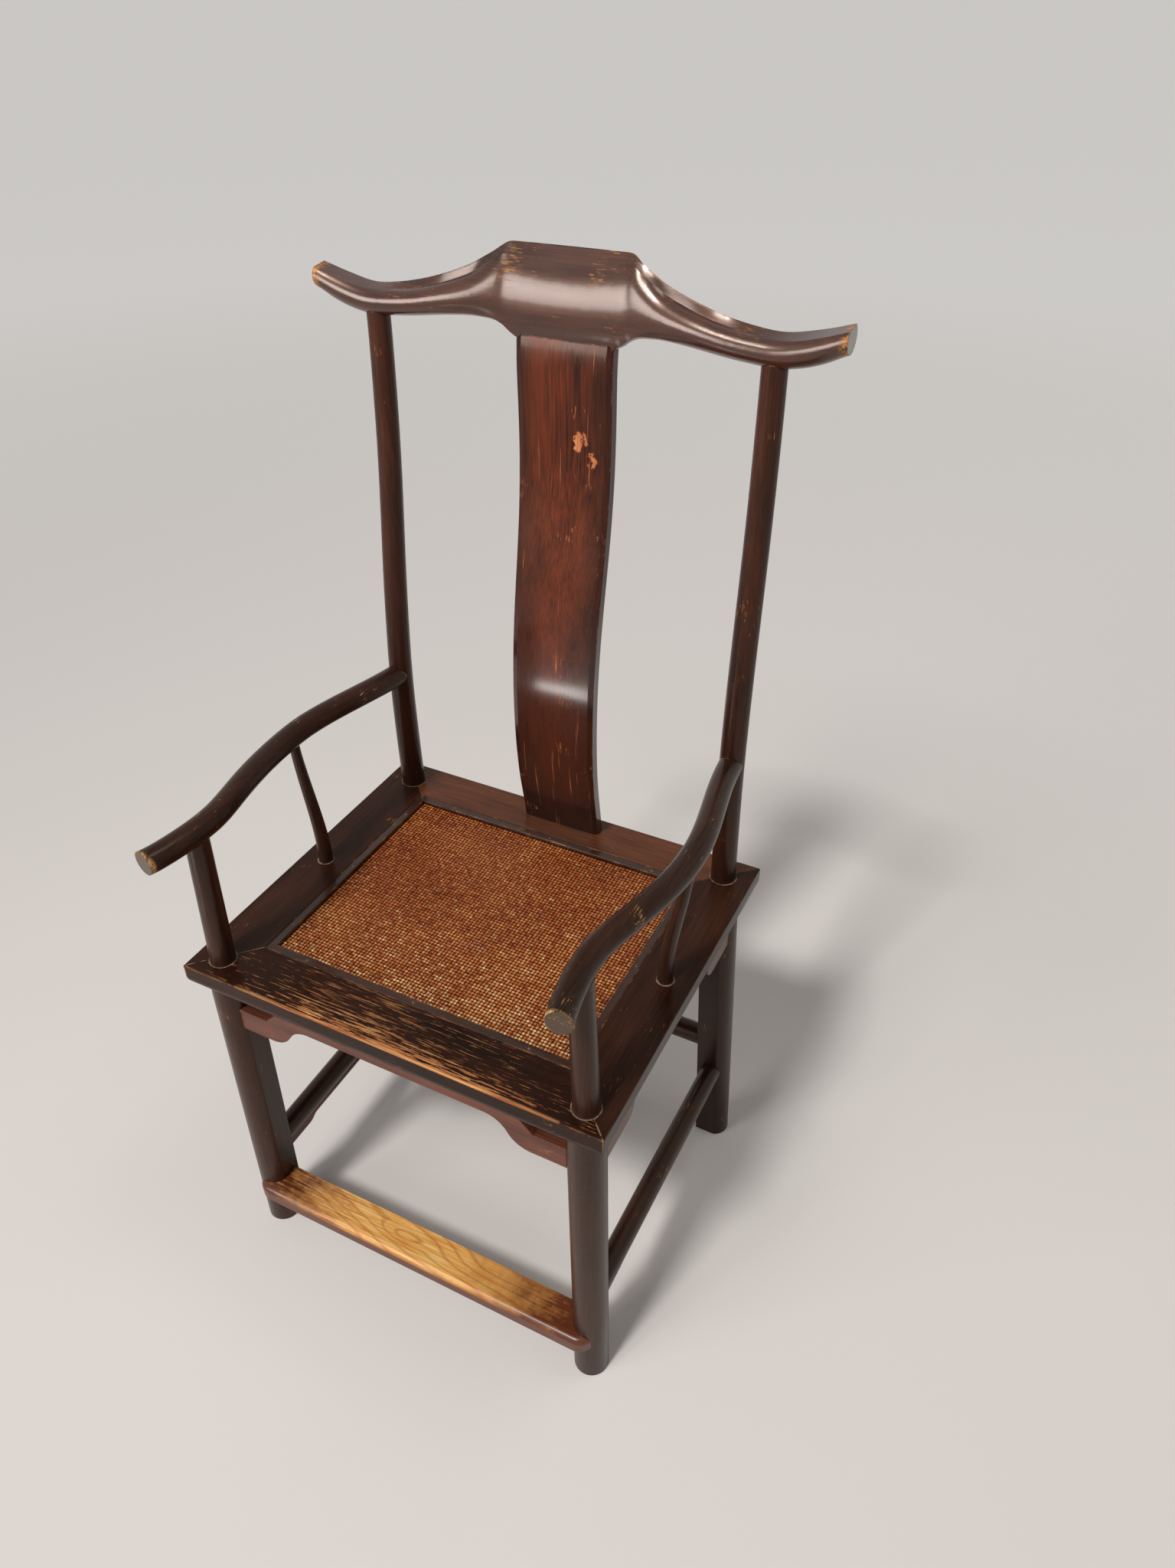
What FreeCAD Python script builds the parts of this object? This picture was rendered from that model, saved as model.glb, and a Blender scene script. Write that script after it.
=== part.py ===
import FreeCAD, Part
import math
import os

import Sketcher
from FreeCAD import Vector

# Official's hat chair, in millimetres.
# The floor is z = 0, the chair faces -Y, and its left is -X, as seen from in front.
# Heights and depths are first reckoned from the middle of the seat frame on the floor.
# Every finished piece is then moved in depth, so that the origin is the middle of the footprint.

os.makedirs("parts", exist_ok=True)
doc = FreeCAD.newDocument("official_hat_chair")

# Driving dimensions

SIZES = (
    ("seat_width", 550, "seat frame, side to side"),
    ("seat_depth", 467, "seat frame, front to back"),
    ("seat_height", 506, "floor to the top of the seat frame"),
    ("frame_thickness", 32, "seat frame, top to underside"),
    ("side_rail_width", 67, "side rail, outer edge to the opening"),
    ("front_rail_width", 67, "front rail, outer edge to the opening"),
    ("back_rail_width", 61, "back rail, outer edge to the opening"),
    ("frame_edge_flat", 17.5, "upright band at the top of the frame edge"),
    ("frame_edge_inset", 7.5, "how far the edge curves in below that band"),
    ("frame_edge_round", 1.2, "worn top edge of the frame"),
    ("ledge_width", 14, "ledge inside the opening that the mat lies on"),
    ("ledge_depth", 8, "ledge below the top of the frame"),
    ("corner_tenon_reach", 42, "corner tenon, from the opening outwards"),
    ("corner_tenon_height", 10, "corner tenon thickness"),
    ("corner_tenon_margin", 1.6, "wood kept on each side of a corner tenon"),
    ("joint_gap", 0.1, "clearance round every tenon"),
    ("overrun", 5, "how far a cut runs past the wood"),
    ("mat_thickness", 2.5, "woven seat mat"),
    ("strip_width", 10, "strip that holds the mat down"),
    ("strip_thickness", 5, "strip that holds the mat down"),
    ("peg_radius", 1.5, "peg through a strip"),
    ("peg_depth", 6, "peg below the ledge"),
    ("brace_spacing", 160, "between the two braces under the mat"),
    ("brace_width", 30, "brace under the mat"),
    ("brace_height", 16, "brace under the mat"),
    ("brace_drop", 5, "top of a brace end below the ledge"),
    ("brace_sag", 9, "how far a brace bows down in the middle"),
    ("brace_tenon_length", 12, "brace tenon"),
    ("brace_tenon_height", 8, "brace tenon"),
    ("leg_radius", 22.2, "round outer side of a leg"),
    ("leg_flat", 20.8, "leg axis to its flat inner faces"),
    ("leg_flat_reach", 7.8, "how far a flat face runs past the axis"),
    ("foot_round", 1.5, "worn edge of a foot"),
    ("front_leg_side_inset", 34.2, "front leg axis under the frame, inside the side of the frame"),
    ("front_leg_end_inset", 30.3, "front leg axis under the frame, behind the front of the frame"),
    ("front_leg_side_splay", 7.2, "how far a front leg leans out sideways at the floor"),
    ("front_leg_end_splay", 2.8, "how far a front leg leans forward at the floor"),
    ("front_post_radius", 15, "front post at the seat"),
    ("front_post_top_radius", 13.5, "front post under the arm"),
    ("rear_leg_side_inset", 37.7, "rear leg axis under the frame, inside the side of the frame"),
    ("rear_leg_end_inset", 35.7, "rear leg axis under the frame, before the back of the frame"),
    ("rear_leg_side_splay", 17.7, "how far a rear leg leans out sideways at the floor"),
    ("rear_leg_end_splay", 8.2, "how far a rear leg leans back at the floor"),
    ("rear_post_radius", 16, "rear post at the seat"),
    ("rear_post_top_radius", 13.5, "rear post under the crest rail"),
    ("rear_post_top_inset", 4, "how far a rear post leans in at its top"),
    ("rear_post_sweep", 28.8, "rear post, backward lean at its top"),
    ("rear_post_height", 1137.5, "floor to the underside of the crest rail at a post"),
    ("post_hole_gap", 0.3, "ring of space round a post in the frame"),
    ("round_tenon_radius", 6, "round tenon of a post or an arm"),
    ("round_tenon_length", 12, "round tenon past its shoulder"),
    ("arm_radius", 14.5, "arm"),
    ("arm_back_height", 687.4, "floor to the arm axis at the rear post"),
    ("arm_rise", 11.5, "rise of the arm axis towards the front"),
    ("arm_bow", 28.5, "how far the arm bows out past the rear post"),
    ("arm_overhang", 35.1, "foremost point of an arm before the front of the frame"),
    ("arm_end_turn", 13, "degrees that the cut end of an arm looks outwards"),
    ("side_post_inset", 32.5, "side post at the seat, inside the side of the frame"),
    ("side_post_advance", 2, "side post at the seat, forward of the middle"),
    ("side_post_radius", 9.3, "side post at the seat"),
    ("side_post_top_radius", 6, "side post under the arm"),
    ("side_post_tenon_radius", 3.5, "side post tenon in the arm"),
    ("crest_overhang", 31, "end of the crest rail beyond the side of the frame"),
    ("crest_rise", 85.5, "top of the crest rail above the top of a post"),
    ("crest_depth", 44, "crest rail, front to back, headrest and ends together"),
    ("crest_bite", 10, "how far a post or the splat is drawn into the crest rail before it is coped"),
    ("splat_foot_inset", 33.8, "front face of the splat at the seat, before the back of the frame"),
    ("splat_sweep", 29.8, "backward lean of the splat at its top"),
    ("splat_foot_width", 110.2, "splat at the seat"),
    ("splat_top_width", 115.6, "splat under the crest rail"),
    ("splat_thickness", 15, "splat"),
    ("splat_bevel_width", 6.5, "bevel along the front edges of the splat"),
    ("splat_bevel_depth", 2.5, "bevel along the front edges of the splat"),
    ("splat_tenon_width", 84, "splat tenon"),
    ("splat_tenon_thickness", 7, "splat tenon"),
    ("splat_tenon_length", 16, "splat tenon"),
    ("crest_joint_drop", 6.5, "joint of splat and crest rail below the top of the posts"),
    ("apron_thickness", 14, "apron under the seat frame"),
    ("apron_height", 32, "plain part of an apron"),
    ("bracket_height", 69, "bracket at the end of an apron"),
    ("bracket_length", 105, "front apron, leg face to the start of the curve"),
    ("bracket_foot_length", 39, "front apron, level bottom of a bracket"),
    ("side_bracket_length", 90, "side apron, leg face to the start of the curve"),
    ("side_bracket_foot_length", 50, "side apron, level bottom of a bracket"),
    ("slot_bottom", 37, "slot above a bracket, its lower edge under the frame"),
    ("slot_top", 19, "slot above a bracket, its upper edge under the frame"),
    ("slot_length", 39, "slot above a bracket, from the leg"),
    ("slot_slant", 17, "how much longer the slot is at its upper edge"),
    ("apron_setback", 18.5, "front apron behind the front of the frame"),
    ("side_apron_setback", 18.5, "side apron inside the side of the frame"),
    ("back_apron_setback", 24, "back apron before the back of the frame"),
    ("tongue_thickness", 5, "tongue on an apron"),
    ("tongue_height", 5, "tongue on an apron"),
    ("apron_tenon_thickness", 6, "apron tenon in a leg"),
    ("apron_tenon_height", 20, "apron tenon in a leg"),
    ("apron_tenon_rise", 6, "apron tenon above the bottom of a bracket"),
    ("tenon_length", 10, "square tenon in a leg"),
    ("footrest_height", 90, "floor to the top of the footrest"),
    ("footrest_thickness", 22, "footrest"),
    ("footrest_depth", 48, "footrest, front to back"),
    ("footrest_overhang", 4.5, "nose of the footrest before the front of the frame"),
    ("footrest_round", 8, "rounding of the nose of the footrest"),
    ("footrest_tip_reach", 10, "footrest past the leg axis, at its tips"),
    ("footrest_tip_back", 13.5, "tips of the footrest behind its nose"),
    ("footrest_tip_run", 21, "rounded run of a footrest tip"),
    ("footrest_tenon_width", 14, "footrest tenon"),
    ("footrest_tenon_height", 12, "footrest tenon"),
    ("stretcher_height", 143, "floor to the middle of a side stretcher"),
    ("stretcher_half_width", 14, "side stretcher"),
    ("stretcher_half_height", 16, "side stretcher"),
    ("rear_stretcher_height", 192, "floor to the middle of the rear stretcher"),
    ("rear_stretcher_radius", 15, "rear stretcher"),
    ("stretcher_tenon_width", 10, "stretcher tenon"),
    ("stretcher_tenon_height", 18, "stretcher tenon"),
    ("low_apron_thickness", 9, "apron under a stretcher"),
    ("low_apron_drop", 15, "low apron below its stretcher"),
    ("low_bracket_drop", 22, "low bracket below its stretcher"),
    ("low_bracket_length", 76, "low bracket, from the leg face"),
    ("low_bracket_foot_length", 52, "level bottom of a low bracket"),
    ("low_apron_overlap", 8, "low apron drawn up into its stretcher before it is coped"),
    ("foot_apron_height", 14, "apron under the footrest"),
    ("foot_bracket_height", 24, "bracket under the footrest"),
    ("foot_apron_setback", 12, "footrest apron behind the nose"),
)

sheet = doc.addObject("Spreadsheet::Sheet", "Sizes")
for row, (name, value, note) in enumerate(SIZES, start=1):
    sheet.set(f"A{row}", name)
    sheet.set(f"B{row}", str(value))
    sheet.set(f"C{row}", note)
    sheet.setAlias(f"B{row}", name)
doc.recompute()


class Length:
    """A size that carries its value and the sheet expression that gives it."""

    def __init__(self, value, text):
        self.value = value
        self.text = text

    def __add__(self, other):
        other = as_length(other)
        return Length(self.value + other.value, f"({self.text} + {other.text})")

    def __sub__(self, other):
        other = as_length(other)
        return Length(self.value - other.value, f"({self.text} - {other.text})")

    def __mul__(self, other):
        other = as_length(other)
        return Length(self.value * other.value, f"({self.text} * {other.text})")

    def __truediv__(self, other):
        other = as_length(other)
        return Length(self.value / other.value, f"({self.text} / {other.text})")

    def __rsub__(self, other):
        return as_length(other) - self

    def __neg__(self):
        return Length(-self.value, f"(0 - {self.text})")

    __radd__ = __add__
    __rmul__ = __mul__


def as_length(size):
    """A plain number is a share, a count or zero."""
    if isinstance(size, Length):
        return size
    return Length(size, f"({size})")


def sine(angle):
    """Sine of a size in degrees."""
    return Length(math.sin(math.radians(angle.value)), f"sin({angle.text})")


def diagonal(run, rise):
    """Straight distance over a run and a rise."""
    return Length(math.hypot(run.value, rise.value), f"sqrt({run.text} ^ 2 + {rise.text} ^ 2)")


class Sheet:
    """The driving dimensions by name."""


S = Sheet()
for name, value, note in SIZES:
    setattr(S, name, Length(value, f"Sizes.{name}"))

# Places that several pieces share

zero = as_length(0)
frame_bottom = S.seat_height - S.frame_thickness
ledge_top = S.seat_height - S.ledge_depth
frame_x = S.seat_width / 2
frame_y = S.seat_depth / 2
opening_x = frame_x - S.side_rail_width
opening_front = S.front_rail_width - frame_y
opening_back = frame_y - S.back_rail_width
front_ledge = S.ledge_width * S.front_rail_width / S.side_rail_width
back_ledge = S.ledge_width * S.back_rail_width / S.side_rail_width
front_leg_x = frame_x - S.front_leg_side_inset
front_leg_y = frame_y - S.front_leg_end_inset
front_foot_x = front_leg_x + S.front_leg_side_splay
front_foot_y = front_leg_y + S.front_leg_end_splay
rear_leg_x = frame_x - S.rear_leg_side_inset
rear_leg_y = frame_y - S.rear_leg_end_inset
rear_foot_x = rear_leg_x + S.rear_leg_side_splay
rear_foot_y = rear_leg_y + S.rear_leg_end_splay
rear_post_top_x = rear_leg_x - S.rear_post_top_inset
side_post_x = frame_x - S.side_post_inset
arm_reach = frame_y + S.arm_overhang
crest_half = frame_x + S.crest_overhang
splat_foot_y = frame_y - S.splat_foot_inset
crest_y = rear_leg_y + S.rear_post_sweep
crest_joint = S.rear_post_height - S.crest_joint_drop
CREST_BACK_SHARE = 0.625
depth_shift = (arm_reach - crest_y - S.crest_depth * CREST_BACK_SHARE) / 2

SIDES = (("left", -1), ("right", 1))
finished = []


# Helpers that draw

def upright(x, y, z):
    """A place whose local axes lie along the chair's own."""
    return f"placement(vector({x.text}; {y.text}; {z.text}); rotation(0; 0; 0))"


def facing(x, y, z, yaw):
    """A place whose local z looks along -Y, turned about the vertical by yaw degrees."""
    yaw = as_length(yaw)
    x, y, z = as_length(x), as_length(y), as_length(z)
    return f"placement(vector({x.text}; {y.text}; {z.text}); rotation({yaw.text}; 0; 90))"


def standing(x, y, z):
    """A place whose local x looks up and whose local z lies along the depth."""
    return f"placement(vector({x.text}; {y.text}; {z.text}); rotation(0; -90; 90))"


SIDEWAYS = 90


def ring(name, radius, place):
    circle = doc.addObject("Part::Circle", name)
    circle.setExpression("Radius", radius.text)
    circle.setExpression("Placement", place)
    return circle


def oval(name, half_height, half_width, place):
    """An ellipse that stands upright, its major axis vertical."""
    ellipse = doc.addObject("Part::Ellipse", name)
    ellipse.setExpression("MajorRadius", half_height.text)
    ellipse.setExpression("MinorRadius", half_width.text)
    ellipse.setExpression("Placement", place)
    return ellipse


def loft(name, sections, ruled=False):
    skin = doc.addObject("Part::Loft", name)
    skin.Sections = sections
    skin.Solid = True
    skin.Ruled = ruled
    return skin


def rod(name, radius, length, place):
    cylinder = doc.addObject("Part::Cylinder", name)
    cylinder.setExpression("Radius", radius.text)
    cylinder.setExpression("Height", length.text)
    cylinder.setExpression("Placement", place)
    return cylinder


def block(name, xs, ys, zs, grow=0):
    """A box from lowest to highest x, y and z, made larger on every side by grow."""
    box = doc.addObject("Part::Box", name)
    spans = (("Length", xs), ("Width", ys), ("Height", zs))
    for key, (low, high) in spans:
        box.setExpression(key, (high - low + 2 * as_length(grow)).text)
    corner = [as_length(low) - grow for low, high in (xs, ys, zs)]
    box.setExpression("Placement", upright(*corner))
    return box


def joined(name, pieces):
    fusion = doc.addObject("Part::MultiFuse", name)
    fusion.Shapes = pieces
    return fusion


def less(name, base, tools):
    """The base with every tool cut away from it."""
    tool = tools[0] if len(tools) == 1 else joined(name + "_cutters", tools)
    cut = doc.addObject("Part::Cut", name)
    cut.Base = base
    cut.Tool = tool
    return cut


def finish(piece, label):
    """Gives a finished piece its name and its place in the chair."""
    piece.Label = label
    piece.setExpression("Placement.Base.y", depth_shift.text)
    finished.append(piece)


def across(side, near, far):
    """The span from near to far on one side of the chair, lowest x first."""
    if side > 0:
        return near, far
    return -far, -near


class Via:
    """The middle of an arc in an outline."""

    def __init__(self, u, v):
        self.u = as_length(u)
        self.v = as_length(v)


class Hole:
    """A circle in an outline."""

    def __init__(self, u, v, radius):
        self.u = as_length(u)
        self.v = as_length(v)
        self.radius = radius


def pin(sketch, geometry, corner, u, v):
    """Ties one point of a sketch to its two sizes."""
    for kind, axis, size in (("DistanceX", -2, u), ("DistanceY", -1, v)):
        if size.value == 0:
            sketch.addConstraint(Sketcher.Constraint("PointOnObject", geometry, corner, axis))
            continue
        index = sketch.addConstraint(Sketcher.Constraint(kind, -1, 1, geometry, corner, size.value))
        sketch.setExpression(f"Constraints[{index}]", size.text)


def draw_hole(sketch, hole):
    centre = Vector(hole.u.value, hole.v.value, 0)
    circle = sketch.addGeometry(Part.Circle(centre, Vector(0, 0, 1), hole.radius.value), False)
    pin(sketch, circle, 3, hole.u, hole.v)
    index = sketch.addConstraint(Sketcher.Constraint("Radius", circle, hole.radius.value))
    sketch.setExpression(f"Constraints[{index}]", hole.radius.text)


def draw_edge(sketch, start, via, end):
    """Adds one line or arc, and gives its index with its first and last corner."""
    first = Vector(start[0].value, start[1].value, 0)
    last = Vector(end[0].value, end[1].value, 0)
    if via is None:
        return sketch.addGeometry(Part.LineSegment(first, last), False), 1, 2
    middle = Vector(via.u.value, via.v.value, 0)
    edge = sketch.addGeometry(Part.Arc(first, middle, last), False)
    mark = sketch.addGeometry(Part.Point(middle), True)
    pin(sketch, mark, 1, via.u, via.v)
    sketch.addConstraint(Sketcher.Constraint("PointOnObject", mark, 1, edge))
    if sketch.getPoint(edge, 1).distanceToPoint(first) < sketch.getPoint(edge, 2).distanceToPoint(first):
        return edge, 1, 2
    return edge, 2, 1


def draw_outline(sketch, outline):
    """Draws a closed outline of corners, with a Via between two that an arc joins."""
    corners = [tuple(map(as_length, point)) for point in outline if not isinstance(point, Via)]
    edges = []
    at = 0
    for index, point in enumerate(outline):
        if isinstance(point, Via):
            continue
        after = outline[(index + 1) % len(outline)]
        via = after if isinstance(after, Via) else None
        edges.append(draw_edge(sketch, corners[at], via, corners[(at + 1) % len(corners)]))
        at += 1
    for index, (edge, first, last) in enumerate(edges):
        follower, follower_first, _ = edges[(index + 1) % len(edges)]
        sketch.addConstraint(Sketcher.Constraint("Coincident", edge, last, follower, follower_first))
        pin(sketch, edge, first, *corners[index])


def draw(sketch, shapes):
    for shape in shapes:
        if isinstance(shape, Hole):
            draw_hole(sketch, shape)
        else:
            draw_outline(sketch, shape)


def section(name, outline, place):
    """One outline standing free at its place, as a section of a loft."""
    sketch = doc.addObject("Sketcher::SketchObject", name)
    sketch.setExpression("Placement", place)
    draw(sketch, [outline])
    return sketch


class Board:
    """A body built of slabs that are added and cut along one axis."""

    def __init__(self, name):
        self.body = doc.addObject("PartDesign::Body", name)
        self.count = 0

    def sketch(self, plane, low, length, shapes):
        """Outlines on a plane: XY is seen from above, XZ from the front, YZ from the side."""
        self.count += 1
        sketch = self.body.newObject("Sketcher::SketchObject", f"{self.body.Name}_sketch_{self.count}")
        origin = [face for face in self.body.Origin.OriginFeatures if face.Role == plane + "_Plane"]
        sketch.AttachmentSupport = [(origin[0], "")]
        sketch.MapMode = "FlatFace"
        offset = -(low + length) if plane == "XZ" else as_length(low)
        sketch.setExpression("AttachmentOffset.Base.z", offset.text)
        draw(sketch, shapes)
        return sketch

    def add(self, plane, low, length, shapes):
        """Adds the outlines as a slab from low over the length."""
        profile = self.sketch(plane, low, length, shapes)
        pad = self.body.newObject("PartDesign::Pad", f"{self.body.Name}_pad_{self.count}")
        pad.Profile = profile
        pad.setExpression("Length", length.text)
        return pad

    def cut(self, plane, low, length, shapes):
        """Cuts the outlines away from low over the length."""
        profile = self.sketch(plane, low, length, shapes)
        doc.recompute()
        before = self.body.Shape.Volume
        pocket = self.body.newObject("PartDesign::Pocket", f"{self.body.Name}_pocket_{self.count}")
        pocket.Profile = profile
        pocket.Reversed = True
        pocket.setExpression("Length", length.text)
        doc.recompute()
        if self.body.Shape.Volume >= before:
            raise RuntimeError(f"{pocket.Name} cuts nothing")
        return pocket


def rectangle(us, vs, grow=0):
    low_u, high_u = as_length(us[0]) - grow, as_length(us[1]) + grow
    low_v, high_v = as_length(vs[0]) - grow, as_length(vs[1]) + grow
    return [(low_u, low_v), (high_u, low_v), (high_u, high_v), (low_u, high_v)]


def mirrored(outline):
    """The same outline on the other side of the middle, drawn the other way round."""
    turned = []
    for point in reversed(outline):
        if isinstance(point, Via):
            turned.append(Via(-point.u, point.v))
        else:
            turned.append((-as_length(point[0]), point[1]))
    return turned


# Axes of legs, posts and arms

def front_leg_axis(z):
    """Front leg axis at a height under the frame, as x and forward depth."""
    share = z / frame_bottom
    x = front_foot_x + (front_leg_x - front_foot_x) * share
    y = front_foot_y + (front_leg_y - front_foot_y) * share
    return x, -y


def rear_leg_axis(z):
    share = z / frame_bottom
    x = rear_foot_x + (rear_leg_x - rear_foot_x) * share
    y = rear_foot_y + (rear_leg_y - rear_foot_y) * share
    return x, y


# Height share of each station above the seat, with the share of the sweep there
REAR_POST_SHARES = (
    (0, 0), (0.1, -0.08), (0.2, -0.115), (0.3, -0.08), (0.4, 0.045), (0.5, 0.226),
    (0.6, 0.448), (0.7, 0.667), (0.8, 0.833), (0.9, 0.941), (1, 1),
)
ARM_POST_SHARE = 0.29
ARM_POST_SWEEP_SHARE = -0.084
arm_post_x = rear_leg_x + (rear_post_top_x - rear_leg_x) * ARM_POST_SHARE
arm_post_y = rear_leg_y + S.rear_post_sweep * ARM_POST_SWEEP_SHARE
arm_front = arm_reach - S.arm_radius * sine(S.arm_end_turn)

# Share of the way from rear post to tip, then shares of the bow, of the rise and of the end's turn
ARM_SHARES = (
    (0, 0, 0, 0), (0.1, 0.18, 0.17, 0), (0.2, 0.474, 0.37, 0), (0.3, 0.775, 0.51, 0),
    (0.424, 0.937, 0.59, 0), (0.5, 0.863, 0.63, 0), (0.6, 0.607, 0.8, 0), (0.7, 0.228, 0.96, 0),
    (0.8, -0.088, 1, 0), (0.86, -0.085, 0.99, 0.1), (0.93, 0.053, 0.97, 0.5), (1, 0.337, 0.97, 1),
)
ARM_AT_SIDE_POST_SHARE = 0.424
ARM_AT_FRONT_POST_SHARE = 0.86


def arm_point(share):
    """The arm's axis at one of the listed shares of its way."""
    bow, rise = next(row[1:3] for row in ARM_SHARES if row[0] == share)
    x = arm_post_x + S.arm_bow * bow
    y = arm_post_y - (arm_post_y + arm_front) * share
    z = S.arm_back_height + S.arm_rise * rise
    return x, y, z


# Crest rail: the lines that its sections hang on, as shares of half its length
# and of its rise (heights) or its depth (fore and aft)

CREST_TOP_HEIGHT_SHARES = (
    (0, 1), (0.216, 1), (0.235, 0.992), (0.255, 0.955), (0.278, 0.901), (0.317, 0.822), (0.359, 0.743),
    (0.474, 0.585), (0.621, 0.45), (0.775, 0.38), (0.889, 0.444), (1, 0.559),
)
CREST_TOP_DEPTH_SHARES = (
    (0, 0.534), (0.216, 0.5), (0.235, 0.46), (0.278, 0.33), (0.359, 0.239), (0.474, 0.182),
    (0.621, 0.125), (0.775, 0.182), (0.889, 0.227), (1, 0.17),
)
CREST_RIDGE_HEIGHT_SHARES = (
    (0, 0.86), (0.216, 0.866), (0.245, 0.868), (0.278, 0.815), (0.359, 0.641), (0.474, 0.485),
    (0.621, 0.367), (0.775, 0.326), (0.889, 0.399), (1, 0.527),
)
CREST_RIDGE_DEPTH_SHARES = (
    (0, 0.307), (0.216, 0.261), (0.278, 0.205), (0.359, 0.182), (0.474, 0.114), (0.621, -0.034),
    (0.775, -0.186), (0.889, -0.25), (1, -0.293),
)
CREST_FRONT_HEIGHT_SHARES = (
    (0, 0.404), (0.278, 0.404), (0.359, 0.357), (0.474, 0.275), (0.621, 0.193), (0.775, 0.158),
    (0.889, 0.234), (1, 0.38),
)
CREST_FRONT_DEPTH_SHARES = (
    (0, -0.023), (0.216, -0.023), (0.278, -0.08), (0.359, -0.182), (0.474, -0.295), (0.621, -0.352),
    (0.775, -0.375), (1, -0.386),
)
CREST_BACK_HEIGHT_SHARES = (
    (0, 0.497), (0.216, 0.497), (0.278, 0.45), (0.359, 0.38), (0.474, 0.298), (0.621, 0.216),
    (0.775, 0.175), (0.889, 0.251), (1, 0.392),
)
CREST_BACK_DEPTH_SHARES = (
    (0, CREST_BACK_SHARE), (0.216, 0.614), (0.278, 0.568), (0.359, 0.511), (0.474, 0.443),
    (0.621, 0.386), (0.775, 0.364), (1, 0.33),
)
CREST_BASE_HEIGHT_SHARES = (
    (0, -0.076), (0.184, -0.076), (0.2, -0.058), (0.216, -0.03), (0.244, 0.041), (0.281, 0.092),
    (0.366, 0.117), (0.474, 0.094), (0.621, 0.035), (0.775, 0), (0.889, 0.076), (1, 0.246),
)
CREST_BASE_DEPTH_SHARES = (
    (0, 0.273), (0.216, 0.273), (0.278, 0.239), (0.359, 0.182), (0.474, 0.091), (0.621, 0.023),
    (0.775, -0.005), (1, -0.023),
)
CREST_BASE_HALF_WIDTH_SHARES = ((0, 0.193), (0.178, 0.193), (0.216, 0.239), (0.359, 0.257), (1, 0.239))
CREST_BASE_CURVE_SHARES = ((0, 0.004), (0.178, 0.004), (0.216, 0.035), (0.278, 0.047), (1, 0.047))
CREST_STATION_SHARES = (
    0, 0.1, 0.165, 0.18, 0.192, 0.204, 0.216, 0.226, 0.236, 0.246, 0.258, 0.278, 0.317, 0.359, 0.415,
    0.474, 0.55, 0.621, 0.7, 0.775, 0.835, 0.889, 0.945, 1,
)


def slopes(knots):
    """Slope at each knot, level wherever the line turns, so that it never overshoots."""
    chords = [(b[1] - a[1]) / (b[0] - a[0]) for a, b in zip(knots, knots[1:])]
    inner = [2 * p * q / (p + q) if p * q > 0 else 0 for p, q in zip(chords, chords[1:])]
    return [0] + inner + [chords[-1]]


def line_at(knots, share):
    """The smooth line through the knots, read at a share of the half length."""
    steep = slopes(knots)
    for index, (low, high) in enumerate(zip(knots, knots[1:])):
        if share <= high[0]:
            break
    run = high[0] - low[0]
    t = (share - low[0]) / run
    start = low[1] * (1 + 2 * t) * (1 - t) ** 2 + steep[index] * run * t * (1 - t) ** 2
    end = high[1] * t ** 2 * (3 - 2 * t) + steep[index + 1] * run * t ** 2 * (t - 1)
    return start + end


def crest_section(share, side):
    """Closed outline of the crest rail at a share of its half length."""
    def at(depth_knots, height_knots):
        y = crest_y + S.crest_depth * line_at(depth_knots, share)
        z = S.rear_post_height + S.crest_rise * line_at(height_knots, share)
        return Vector(side * crest_half.value * share, y.value, z.value)

    top = at(CREST_TOP_DEPTH_SHARES, CREST_TOP_HEIGHT_SHARES)
    ridge = at(CREST_RIDGE_DEPTH_SHARES, CREST_RIDGE_HEIGHT_SHARES)
    front = at(CREST_FRONT_DEPTH_SHARES, CREST_FRONT_HEIGHT_SHARES)
    back = at(CREST_BACK_DEPTH_SHARES, CREST_BACK_HEIGHT_SHARES)
    base = at(CREST_BASE_DEPTH_SHARES, CREST_BASE_HEIGHT_SHARES)
    half_width = S.crest_depth.value * line_at(CREST_BASE_HALF_WIDTH_SHARES, share)
    curve = S.crest_rise.value * line_at(CREST_BASE_CURVE_SHARES, share)
    base_front = base + Vector(0, -half_width, curve)
    base_back = base + Vector(0, half_width, curve)
    return Part.Wire([
        Part.LineSegment(top, ridge).toShape(),
        Part.Arc(ridge, front, base_front).toShape(),
        Part.Arc(base_front, base, base_back).toShape(),
        Part.Arc(base_back, back, top).toShape(),
    ])


# Seat frame

def mitre(side, end):
    """Both ends of a corner's mitre line, run past the wood, and the two corners beside it."""
    width = S.front_rail_width if end < 0 else S.back_rail_width
    past = S.overrun / S.side_rail_width
    reach = 1 + S.ledge_width / S.side_rail_width + past
    outer = side * (frame_x + S.side_rail_width * past), end * (frame_y + width * past)
    inner = side * (frame_x - S.side_rail_width * reach), end * (frame_y - width * reach)
    return outer, inner


BELLY_REACH_SHARE = 0.25
BELLY_DROP_SHARE = 0.55
ROUND_INSET_SHARE = 0.293


def rail_profile(end, half, width, ledge):
    """Cross section of a rail: rounded top edge, upright band, curve below, ledge inside."""
    inset = S.frame_edge_inset * width / S.side_rail_width
    worn = S.frame_edge_round
    curve = S.frame_thickness - S.frame_edge_flat
    top = S.seat_height
    outline = [
        (end * (half - worn), top),
        (end * (half - width), top),
        (end * (half - width), ledge_top),
        (end * (half - width - ledge), ledge_top),
        (end * (half - width - ledge), frame_bottom),
        (end * (half - inset), frame_bottom),
        Via(end * (half - inset * BELLY_REACH_SHARE), top - S.frame_edge_flat - curve * BELLY_DROP_SHARE),
        (end * half, top - S.frame_edge_flat),
        (end * half, top - worn),
        Via(end * (half - worn * ROUND_INSET_SHARE), top - worn * ROUND_INSET_SHARE),
    ]
    return outline


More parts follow.
